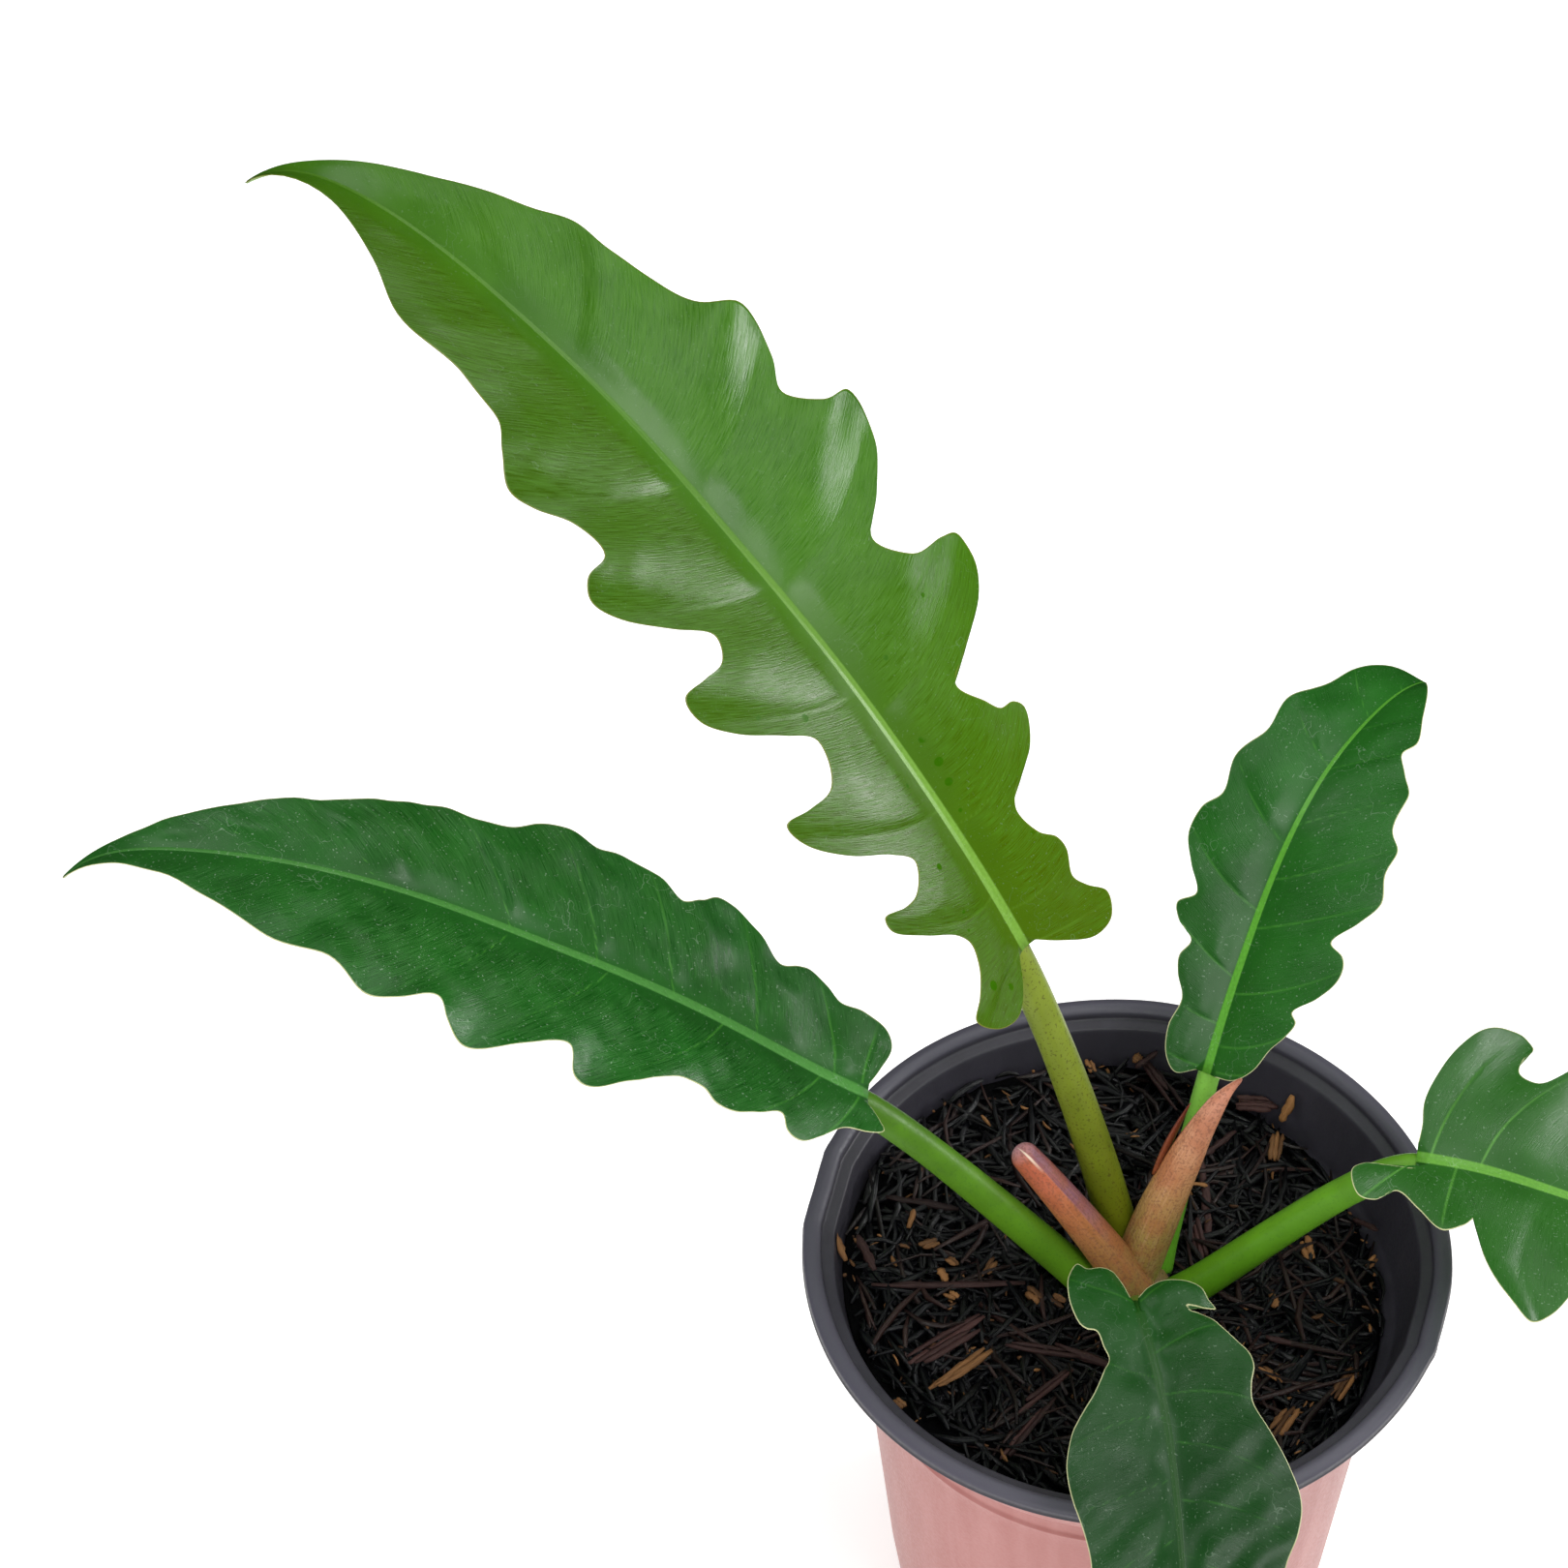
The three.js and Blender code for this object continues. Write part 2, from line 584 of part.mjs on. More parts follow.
const plant = new THREE.Group();
plant.name = "potted_philodendron";

plant.add(namedMesh("pot", potSolid(), 0xc48a82, 0.55));

const stem = solid(stemGeometry(0));
const placed = [solid(stemGeometry(SEAT))];
plant.add(namedMesh("stem", stem, 0x6d7a35, 0.6));

for (const [name, sheath] of Object.entries(SHEATHS)) {
  const shape = placed.reduce((left, other) => left.subtract(other), solid(sheathGeometry(sheath, 0)));
  placed.push(solid(sheathGeometry(sheath, SEAT)));
  plant.add(namedMesh(name, shape, sheath.colour, 0.5));
}

for (const [name, leaf] of Object.entries(LEAVES)) {
  const path = walk(leaf.base, leaf.length, leaf.climb, leaf.heading);
  const stalk = placed.reduce((left, other) => left.subtract(other), solid(stalkGeometry(leaf, path, 0)));
  placed.push(solid(stalkGeometry(leaf, path, SEAT)));
  const shape = largestBody(stalk).add(solid(bladeGeometry(leaf, path)));
  plant.add(namedMesh(name, shape, leaf.colour, 0.45));
}

const mix = placed.reduce((left, other) => left.subtract(other), mixSolid());
plant.add(namedMesh("potting_mix", mix, 0x1f1b1c, 0.9));

export default plant;
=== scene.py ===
"""Looks of a young potted philodendron: five wavy leaves, two leaf sheaths, husk mix, nursery pot.

Sizes in the lists are millimetres, as in the part's own source, and become metres in make_piece.
"""

import math

import bpy
import numpy as np
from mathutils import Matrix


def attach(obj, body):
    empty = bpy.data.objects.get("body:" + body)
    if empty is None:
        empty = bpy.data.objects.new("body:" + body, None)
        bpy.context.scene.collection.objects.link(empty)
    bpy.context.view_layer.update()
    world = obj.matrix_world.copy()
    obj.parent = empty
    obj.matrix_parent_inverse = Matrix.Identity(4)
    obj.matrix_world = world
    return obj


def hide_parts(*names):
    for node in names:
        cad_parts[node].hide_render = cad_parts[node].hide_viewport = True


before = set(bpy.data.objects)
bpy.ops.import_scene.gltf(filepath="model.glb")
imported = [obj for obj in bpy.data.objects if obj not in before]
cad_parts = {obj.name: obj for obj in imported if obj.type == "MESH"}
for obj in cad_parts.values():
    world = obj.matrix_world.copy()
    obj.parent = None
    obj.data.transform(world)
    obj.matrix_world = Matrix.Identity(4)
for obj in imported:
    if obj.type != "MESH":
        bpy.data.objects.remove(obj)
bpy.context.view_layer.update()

MM = 0.001
UP = np.array([0.0, 0.0, 1.0])

# Leaf blades and their stalks. The rows of a blade leave the midrib at VEIN_SLANT, its edges droop by
# EDGE_DROOP for each square millimetre, and the stalk runs on under the midrib for STALK_TAIL.
BLADE_THICKNESS = 0.5
BLADE_COLUMNS = 27
ROWS_PER_POINT = 8
EDGE_DROOP = 0.002
RIB_RAISE = 0.4
KEEL_DEPTH = 3.0
VEIN_SLANT = 0.5
STALK_OVERLAP = 1.7
STALK_TAIL = 20.0
STALK_SIDES = 32
STALK_RINGS = 44
TAIL_RINGS = 12

# Leaves. base, climb and heading give the midrib's line, and fold the degrees by which both halves
# rise from it. left and right are each half's edge as [along the midrib, out from it], and their veins
# are [start on the midrib, slope, bend]. ruffle waves the edge, low being where each half's first dip
# is. rib is the midrib's half width. swell is how far the blade rises between two side veins, beside
# how far next to the midrib, both with the left half first. crease and lumps are heights too, and
# dips are hollows as [along, out, depth, size].
LEAVES = {
    "leaf_tall": {
        "slot": "young_leaf",
        "stalk": {"foot": [1, 8, 117], "climb": 77, "heading": 150, "radii": [4.8, 3.9]},
        "base": [-25.7, 19.6, 217.9],
        "length": 264,
        "climb": [55, 49, 44, 37, 35, 26, 19, -2, -48],
        "heading": [143, 143, 145],
        "fold": 14,
        "ruffle": {"height": 1.5, "spacing": 31, "low": [38, 28]},
        "rib": 1.5,
        "crease": 0.08,
        "lumps": 0.04,
        "swell": {"height": [1.4, 1.2], "width": [2.5, 3.0]},
        "beside": {"height": [1.3, 1.1], "width": [4.8, 3.0]},
        "left": [
            [0, 3], [-5, 8], [-8, 15], [-6, 22], [0, 26.5], [3, 22], [7, 17], [12, 15], [16, 17],
            [22, 25], [29, 33], [33, 33.5], [31, 27], [31, 22], [36, 16.5], [41, 21], [48, 31],
            [56, 38], [63, 40], [62, 33], [62, 25], [71, 19.5], [77, 26], [84, 35], [92, 41],
            [98, 41.5], [98, 35], [98, 28], [103, 24], [110, 31], [119, 39], [127, 43], [131, 41],
            [132, 34], [141, 33], [149, 37], [156, 39], [162, 35], [168, 28], [180, 25], [195, 26],
            [212, 16], [230, 6.5], [264, 0.4],
        ],
        "right": [
            [0, 3], [-4, 8], [-8, 15], [-7, 21], [-2, 24], [2, 21], [6, 19], [12, 21], [16, 20],
            [20, 16.5], [27, 15], [31, 18], [36, 27], [43, 32], [46, 30], [47, 26], [51, 23],
            [58, 19.5], [62, 25], [69, 37], [76, 43.5], [82, 44.5], [84, 40], [86, 30], [94, 25],
            [101, 34], [109, 43], [117, 46], [122, 44], [124, 37], [131, 32], [138, 37], [145, 39.5],
            [151, 38], [157, 31], [167, 28.5], [179, 25], [189, 25], [200, 19.5], [220, 11.5],
            [232, 7], [243, 3.4], [253, 1.5], [264, 0.4],
        ],
        "left_veins": [
            [0.4, 0.1, -0.01], [15, 0, 0.014], [38.6, 0.2, 0.008], [71.2, 0.23, 0.006],
            [101.3, 0.23, 0.0065], [130.2, 0.27, 0.0087], [169, 0.38, 0.022], [204, 0.6, 0.04],
            [232, 0.9, 0.06],
        ],
        "right_veins": [
            [0.4, -0.3, 0.005], [10, -0.3, 0.015], [33.7, -0.26, 0.019], [65.1, -0.06, 0.009],
            [99.6, -0.09, 0.0094], [127.5, 0.12, 0.0074], [167.6, 0.33, 0.0185], [192, 0.63, 0.04],
            [222, 0.9, 0.06],
        ],
    },
    "leaf_left": {
        "slot": "leaf",
        "stalk": {"foot": [-5, -1, 117], "climb": 52, "heading": 178, "radii": [4.4, 3.6]},
        "base": [-60.2, 2.6, 186.4],
        "length": 200,
        "climb": [31, 36, 31, 25, 23, 14, 2, -13, -53],
        "heading": [174, 170],
        "fold": 12,
        "ruffle": {"height": 1.5, "spacing": 25, "low": [28, 30]},
        "rib": 1.8,
        "crease": 0.06,
        "lumps": 0.24,
        "swell": {"height": [0.4, 1.8], "width": [3.0, 2.0]},
        "beside": {"height": [0.4, -0.6], "width": [4.4, 5.3]},
        "left": [
            [0, 3], [-3, 7], [-4, 10], [0, 12.5], [6, 14], [12, 20], [17, 24], [21.5, 24],
            [23.5, 20.5], [30, 24], [35, 26.5], [39.5, 26], [43, 23.5], [50, 25], [60, 32],
            [69, 36.5], [73, 35], [75.5, 29], [84, 33], [91, 36.5], [98, 38], [103, 35], [106, 30],
            [114, 32.5], [121, 33], [131, 27], [145, 23.5], [163, 12], [181, 4.5], [200, 0.4],
        ],
        "right": [
            [0, 3], [-2, 8], [-3.5, 14], [-1, 18.5], [5, 20], [11, 20], [15, 23], [20, 24.5],
            [24, 23], [29, 21], [36, 26], [42, 30.5], [47, 30.5], [51, 27], [55.5, 24], [62, 28],
            [70, 30.5], [78, 28.5], [86, 30], [92, 30], [98, 25.5], [106, 23.5], [115, 24.5],
            [127, 21], [140, 18], [155, 14], [170, 9], [182, 4], [192, 1.6], [200, 0.4],
        ],
        "left_veins": [
            [1.7, 0.3, 0.01], [12, 0.5, 0.01], [38.9, 0.4, 0.013], [67.7, 0.5, 0.009],
            [91.6, 0.48, 0.008], [120.2, 0.55, 0.015], [148, 0.7, 0.03], [172, 0.9, 0.05],
        ],
        "right_veins": [
            [1.7, 0.05, -0.005], [8.8, 0.16, 0.009], [30.1, 0.2, 0.005], [52.1, 0.3, 0.004],
            [71.4, 0.2, 0.012], [92.2, 0.4, 0.014], [124.1, 0.35, 0.05], [150, 0.8, 0.05],
            [174, 1.0, 0.06],
        ],
    },
    "leaf_upright": {
        "slot": "leaf",
        "stalk": {"foot": [8, 6, 117], "climb": 67, "heading": 62, "radii": [3.4, 2.6]},
        "base": [17.9, 23.5, 168.3],
        "length": 122,
        "climb": [55, 48, 45, 29, 3, -13, -36],
        "heading": [65, 53],
        "fold": 10,
        "ruffle": {"height": 1.1, "spacing": 16.5, "low": [41, 38]},
        "rib": 1.2,
        "crease": 0.08,
        "lumps": 0.07,
        "swell": {"height": [1.0, 1.7], "width": [1.5, 5.6]},
        "beside": {"height": [0.3, 1.3], "width": [4.3, 2.3]},
        "left": [
            [0, 2.5], [-2, 7], [1, 10], [8, 11.5], [15, 10.4], [20, 13], [24, 14], [28, 12.6],
            [31.5, 17], [35, 18.6], [38.5, 15], [44, 18.5], [50, 22], [56, 21.5], [60.5, 18.4],
            [69, 20.2], [77, 17], [87, 18], [93, 15], [98, 13], [106, 11.5], [113, 9.5],
            [119, 5.5], [122, 0.4],
        ],
        "right": [
            [0, 2.5], [1, 7], [5, 11], [11, 13.5], [15, 16], [19, 17.5], [21, 16], [26, 20.5],
            [31, 23.5], [35, 24], [37.5, 23], [39.5, 19.5], [46, 24], [52, 27], [58, 25.5],
            [64, 25.5], [68, 22], [77, 21], [82, 17], [87, 13.3], [92, 14.3], [101, 10.5],
            [112, 5.5], [122, 0.4],
        ],
        "left_veins": [
            [1, 0, 0.01], [11.8, 0.05, 0.012], [22.9, 0.4, 0.006], [39.4, 0.25, 0.014],
            [55.7, 0.34, 0.018], [76.8, 0.4, 0.015], [95, 0.6, 0.03], [110, 0.8, 0.05],
        ],
        "right_veins": [
            [1, 0.05, 0.02], [7.1, 0.1, 0.025], [19.5, 0.3, 0.013], [35.2, 0.5, 0.004],
            [47, 0.55, 0.006], [60.6, 0.7, 0.001], [76, 0.7, 0.01], [90, 0.9, 0.02],
            [106, 1.0, 0.05],
        ],
    },
    "leaf_right": {
        "slot": "leaf",
        "stalk": {"foot": [11, -3, 117], "climb": 44, "heading": 2, "radii": [4.3, 3.6]},
        "base": [64.1, -1.5, 168.5],
        "length": 130,
        "climb": [-4, -20, -20, -26, -34, -50],
        "heading": [-7, -5],
        "fold": 8,
        "ruffle": {"height": 1.6, "spacing": 26, "low": [5, 12]},
        "rib": 1.5,
        "crease": 0.06,
        "lumps": 0.08,
        "swell": {"height": [0.5, 1.0], "width": [4.0, 3.0]},
        "beside": {"height": [1.6, 0.5], "width": [2.9, 3.1]},
        "left": [
            [0, 3.5], [0.5, 8], [0.5, 14], [3, 22], [7, 30], [12.5, 36.5], [18, 39.5], [23, 40.7],
            [25.5, 38.5], [22.5, 33], [22, 28.5], [26, 26.5], [34, 33], [42, 40], [50, 43],
            [54, 41], [52, 33], [55, 25], [63, 30], [71, 36], [76, 34], [75, 26], [80, 20],
            [88, 23], [95, 19], [105, 11], [119, 3], [130, 0.4],
        ],
        "right": [
            [0, 3.5], [-7, 4.5], [-12, 6.5], [-15, 11], [-13, 17], [-9, 16], [-4, 11.5], [1, 16],
            [6.5, 21.5], [11, 19], [14.5, 14.5], [15.5, 26], [20, 35], [27, 39], [33, 35.5],
            [39, 26], [47, 20], [53, 30], [61, 35.5], [66, 32], [68, 23], [76, 18], [85, 23],
            [91, 21], [98, 14], [110, 8], [122, 2.5], [130, 0.4],
        ],
        "left_veins": [
            [3, 0.18, 0.007], [14.5, 0.2, 0.014], [36, 0.3, 0.01], [60, 0.35, 0.012],
            [82, 0.5, 0.02], [104, 0.8, 0.04],
        ],
        "right_veins": [
            [0.5, -0.9, 0.01], [9.4, -0.22, 0.003], [31, -0.4, 0.005], [52, 0.2, 0.01],
            [73, 0.4, 0.015], [96, 0.7, 0.03],
        ],
    },
    "leaf_front": {
        "slot": "leaf",
        "stalk": {"foot": [3, -8, 117], "climb": 62, "heading": -96, "radii": [4.2, 1.9], "bend": 0.03},
        "base": [-0.6, -38.9, 164.9],
        "length": 118,
        "climb": [2, -11, -23, -32, -42, -60],
        "heading": [-77, -86, -84],
        "fold": 10,
        "ruffle": {"height": 1.3, "spacing": 30, "low": [5, 31]},
        "rib": 1.35,
        "crease": 0.06,
        "lumps": 0.28,
        "swell": {"height": [1.0, 0.3], "width": [3.6, 5.0]},
        "beside": {"height": [0.0, 1.6], "width": [4.8, 2.5]},
        "auricle_lift": [-0.03, -0.012],
        "auricle_curl": [0.06, 0],
        "dips": [
            [8, -5, 1.2, 4.5], [20, -6, 0.7, 5], [13, 6, 1.3, 5], [20, 5, 1.1, 4.5], [33, -6, 0.5, 6],
            [29, 7, -0.5, 4], [15, -9, -0.4, 4],
        ],
        "left": [
            [-1, 1], [-3.2, 4.1], [-4, 7.3], [-3, 10.6], [-1.8, 13.3], [0, 15.6], [2.8, 16.4],
            [4.5, 17.6], [5.2, 15.1], [4.6, 12.5], [4.2, 10.8], [5.6, 11.2], [6.6, 12.8], [8.8, 15.1],
            [12.2, 17.1], [15.5, 19.3], [18.8, 21.3], [22, 21.6], [26, 20.1], [30, 19.6], [38, 23],
            [45, 26], [52, 27.5], [58, 26], [66, 22.5], [74, 24], [81, 23.5], [87, 19], [94, 17],
            [103, 10], [112, 4], [118, 0.4],
        ],
        "right": [
            [-1, 1], [-5.5, 1.8], [-9, 3.1], [-10.2, 5.6], [-10.2, 8.6], [-12.2, 10.3], [-8, 13.6],
            [-2.8, 15.1], [1.5, 15.3], [5.5, 14.6], [7, 13.3], [7.8, 11.3], [12, 10.6],
            [15.2, 10.1], [18.5, 12.1], [21, 13.6], [24, 15.6], [27, 18], [30, 20.2], [33, 22],
            [40, 24], [48, 23.5], [56, 21.5], [64, 20.5], [72, 22], [80, 21.5], [87, 17], [92, 15.5],
            [98, 12], [105, 8], [112, 3], [118, 0.4],
        ],
        "left_veins": [
            [1, -0.6, 0.01], [14.8, -0.5, 0.016], [24.8, -0.05, 0.015], [35.8, 0.11, 0.016],
            [49, 0.05, 0.014], [61, 0.35, 0.014], [76, 0.5, 0.02], [92, 0.8, 0.03],
        ],
        "right_veins": [
            [1, -0.6, 0.002], [20.7, -0.4, 0], [30.4, -0.1, 0.016], [44.2, 0.3, 0],
            [57.2, 0.4, 0.004], [72, 0.5, 0.015], [88, 0.7, 0.03],
        ],
    },
}

# Sheaths: tapered spindles around a leaf that is still to open. radii run evenly from foot to tip,
# seam is where one edge laps over the other, in degrees round the sheath, rounding the end's share
SHEATHS = {
    "sheath_left": {
        "foot": [3.2, -3, 119.5],
        "length": 52.5,
        "climb": [59, 56, 53, 51],
        "heading": [163, 161],
        "radii": [4.8, 5.0, 4.8, 4.5, 4.25, 3.95, 3.65, 3.2],
        "seam": 118,
        "rounding": 0.055,
    },
    "sheath_right": {
        "foot": [2.5, 2, 119],
        "length": 64,
        "climb": [78, 75, 72, 70, 68, 66, 62, 54, 24],
        "heading": [33, 30],
        "radii": [5.3, 5.5, 5.4, 5.1, 4.6, 4.0, 3.1, 2.1, 0.5],
        "seam": 118,
        "rounding": 0.02,
    },
}
SHEATH_FLATTEN = 0.95
SHEATH_SIDES = 72
SHEATH_RINGS = 110

# Flap of dry skin on the right sheath: where it leaves the sheath and how long it is, as shares of
# the sheath's length, and how far its tip stands off
FLAP_START = 0.5
FLAP_REACH = 0.3
FLAP_STAND_OFF = 3.0
FLAP_SIDES = 20
FLAP_RINGS = 12

# Pot: outer wall and the bead of its step line as [radius, height]; the inside is the same sheet
# POT_WALL further in. The lip has a crest, a turned-down skirt, and a short neck and a ledge down to
# the wall. WALL_WOBBLE is how far the thin wall strays from round.
POT_HEIGHT = 133.0
LIP_RADIUS = 75.0
LIP_CREST = 72.6
LIP_SKIRT = 3.4
NECK_RADIUS = 70.5
NECK_DEPTH = 3.0
POT_WALL = 1.0
POT_SIDES = 240
FLOOR_DISC_RADIUS = 34.0
FLOOR_CHANNEL = [36.0, 44.0]
FLOOR_CHANNEL_RISE = 3.0
FOOT_RING = [45.4, 47.0]
DRAIN_HOLES = 8
DRAIN_RADIUS = 3.5
DRAIN_SIDES = 32
WALL_OUTSIDE = [[50, 6], [53, 28], [56.5, 63], [61.3, 110], [64.3, 112.4], [68.3, 128.7]]
WALL_BEAD = [[60.45, 101.8], [61.2, 102.5], [61.25, 103.0], [60.7, 104.2]]
WALL_WOBBLE = 0.35
LONGEST_SPAN = 4.0

# Lip dents as [angle round the pot in degrees, depth, width in degrees]; a negative depth is a kink
LIP_DENTS = [
    [165.5, 0.6, 5.5], [157, -0.3, 1.6], [174, -0.25, 1.6],
    [-14, 0.4, 6], [-22, -0.4, 1.8], [75, 0.4, 5],
]

# Potting mix: its height in the middle, and its rise per mm toward +X and toward +Y. It stays clear
# of the wall by MIX_GAP and MIX_CLEARANCE, and its dark bed lies BED_DEPTH under the loose bits.
MIX_TOP = 118.0
MIX_SLOPE = [-0.105, 0.035]
MIX_GAP = 0.3
MIX_CLEARANCE = 0.2
MIX_SIDES = 160
MIX_RINGS = 62
BED_DEPTH = 2.4
STEM_CENTRE = [3.0, 0.0]
STEM_CLEARANCE = 8.0
STEM_TOP = 122.0
STEM_BOTTOM = 96.0
STEM_RADIUS = 9.0
STEM_SIDES = 48

# Loose bits as count, and ranges of length, width and height over the mix, and the seed of their draw
CHARRED_STICKS = (2000, (8, 25), (1.1, 2.0), (-2.8, 1.2), 11)
BROWN_TWIGS = (200, (11, 30), (0.9, 1.7), (-0.2, 2.1), 12)
HUSK_FLAKES = (260, (1.0, 3.6), (0.4, 1.1), (-0.8, 1.7), 13)

# Larger bits that lie on the mix: both ends as [x, y, height over the mix], width, shade from 0 dark
# to 1 pale, and thickness as a share of the width. Each is split into slivers.
SLIVER_WIDTH = 1.3
BARK_SEED = 21
STRAW_SEED = 22
BARK = [
    ([-50, -26.5, 1.6], [-32.4, -12.4, 2.2], 5.4, 0.75, 0.16),
    ([-17.6, -18.2, 2.2], [3.4, -26.5, 2.0], 1.9, 0.5, 0.7),
    ([-28.1, -20.1, 2.4], [-7.6, -21.2, 2.4], 2.0, 0.45, 0.7),
    ([-12.7, -25.9, 2.6], [-28.1, -39.4, 2.0], 2.2, 0.5, 0.7),
    ([-16.4, -31.9, 1.6], [-30.6, -52.6, 1.0], 2.2, 0.5, 0.7),
    ([-58.7, -5.2, 1.8], [-20.5, -2.3, 2.4], 1.8, 0.15, 0.8),
    ([-55.1, 20.2, 2.0], [-35.9, 17.2, 2.2], 1.3, 0.2, 0.8),
    ([-61.9, 8.9, 1.6], [-57.5, -1.6, 1.8], 1.9, 0.45, 0.7),
    ([28, 53, 2.6], [39, 52, 4.0], 4.6, 0.6, 0.4),
    ([18.8, 36.5, 1.8], [32.5, 48.5, 2.6], 1.5, 0.45, 0.8),
    ([19.5, 37, 2.2], [20.7, 13.9, 1.6], 1.8, 0.3, 0.8),
    ([6.7, 65, 1.2], [15.8, 49.8, 2.2], 3.4, 0.3, 0.35),
    ([16.5, 21, 2.0], [18.9, 8.3, 1.6], 3.4, 0.75, 0.4),
    ([54.2, 22, 1.4], [62.0, 15.5, 5.0], 1.5, 0.3, 0.8),
    ([28.6, -12.7, 2.0], [44.2, -15.5, 1.6], 1.5, 0.05, 0.8),
    ([1.8, 59, 1.6], [10.5, 64.5, 5.0], 1.2, 0.3, 0.8),
]
STRAW = [
    ([-46.4, -34.1, 1.8], [-28.8, -19.1, 3.0], 3.0, 0.45, 0.5),
    ([-44.4, -33.0, 2.8], [-34.8, -25.1, 3.2], 2.2, 0.7, 0.3),
    ([-48.1, 17.7, 3.2], [-50, 10.7, 1.8], 1.5, 0.8, 0.8),
    ([-67.2, 7.2, 4.2], [-64.0, 0.6, 1.4], 1.7, 0.75, 0.8),
    ([42.4, 51.0, 12.5], [38.5, 47.0, 3.0], 1.9, 0.85, 0.8),
    ([38.4, 46.0, 2.8], [36.8, 36.8, 1.8], 3.4, 0.45, 0.4),
    ([15.6, 27.9, 2.2], [21.8, 27.5, 2.2], 0.9, 0.9, 0.8),
    ([42.5, 17, 1.8], [44.7, 7.5, 1.8], 3.0, 0.9, 0.3),
    ([57.3, 8.5, 1.2], [60.0, 11.6, 2.0], 2.2, 0.75, 0.3),
    ([47.5, -28.6, 1.8], [53.4, -19.4, 1.8], 3.4, 0.45, 0.5),
    ([32.1, -40.8, 1.6], [38.4, -31.9, 2.4], 4.2, 0.4, 0.4),
    ([30.4, -21.1, 1.8], [36.9, -25.4, 1.8], 2.2, 0.6, 0.4),
    ([35.7, -5.4, 1.6], [34.1, -0.1, 1.8], 1.8, 0.65, 0.4),
    ([4.4, 64.5, 2.0], [6.7, 63.0, 2.0], 1.8, 0.8, 0.4),
    ([-6.4, 63.0, 2.4], [-5.1, 58.9, 1.8], 2.2, 0.85, 0.5),
    ([-47.4, 6, 1.8], [-41.7, 8.6, 1.8], 2.4, 0.45, 0.4),
    ([-41.1, 3.7, 1.8], [-38.4, 1.7, 1.8], 2.2, 0.5, 0.5),
    ([-32.9, -1.1, 1.8], [-29.4, 4.6, 1.8], 2.2, 0.5, 0.5),
    ([-42.9, 0.3, 1.8], [-41.2, -3.3, 1.8], 1.8, 0.8, 0.5),
    ([-41.9, -5.8, 1.8], [-38.6, -8, 1.8], 2.4, 0.7, 0.4),
    ([-22.8, -3.6, 1.8], [-19.5, -6.8, 1.8], 3.0, 0.45, 0.6),
    ([-17.2, -5.3, 1.8], [-13.9, -7.8, 1.8], 2.6, 0.4, 0.6),
    ([-53.6, -36.6, 2.4], [-51.1, -38.7, 1.8], 2.4, 0.5, 0.6),
]


# Curves and frames


def smooth_value(values, t):
    """Value at t from 0 to 1 on an even Catmull-Rom curve through the listed values."""
    values = np.asarray(values, dtype=float)
    last = len(values) - 1
    x = np.clip(t, 0, 1) * last
    i = np.minimum(np.floor(x).astype(int), last - 1)
    f = x - i
    a, b, c, d = (values[np.clip(i + k, 0, last)] for k in (-1, 0, 1, 2))
    square = 2 * a - 5 * b + 4 * c - d
    cube = 3 * b - a - 3 * c + d
    return 0.5 * (2 * b + (c - a) * f + square * f**2 + cube * f**3)


def smooth_step(low, high, x):
    """0 below low, 1 above high and a smooth rise between them."""
    t = np.clip((np.asarray(x, dtype=float) - low) / (high - low), 0, 1)
    return t * t * (3 - 2 * t)


def direction(climb, heading):
    """Unit vectors for climbs and headings in degrees."""
    e, h = np.radians(climb), np.radians(heading)
    return np.stack([np.cos(e) * np.cos(h), np.cos(e) * np.sin(h), np.sin(e)], axis=-1)


def unit(vectors):
    """The same directions with length one."""
    return vectors / np.linalg.norm(vectors, axis=-1, keepdims=True)


def walk(start, length, climbs, headings):
    """A curve in space from start that turns smoothly through the listed climbs and headings."""
    steps = 240
    t = np.linspace(0, 1, steps + 1)
    directions = direction(smooth_value(climbs, t), smooth_value(headings, t))
    moves = (directions[1:] + directions[:-1]) / 2 * length / steps
    points = np.vstack([start, np.asarray(start, dtype=float) + np.cumsum(moves, axis=0)])
    return {"length": length, "t": t, "points": points, "directions": directions}


def frames_at(path, distance):
    """Point, forward, right and up at distances along a curve."""
    t = np.clip(np.asarray(distance, dtype=float) / path["length"], 0, 1)
    point, forward = (
        np.stack([np.interp(t, path["t"], path[part][:, k]) for k in range(3)], axis=-1)
        for part in ("points", "directions")
    )
    forward = unit(forward)
    right = unit(np.cross(forward, UP))
    return point, forward, right, np.cross(right, forward)


def frame_at(path, distance):
    """Point, forward, right and up at one distance along a curve."""
    return [part[0] for part in frames_at(path, [distance])]


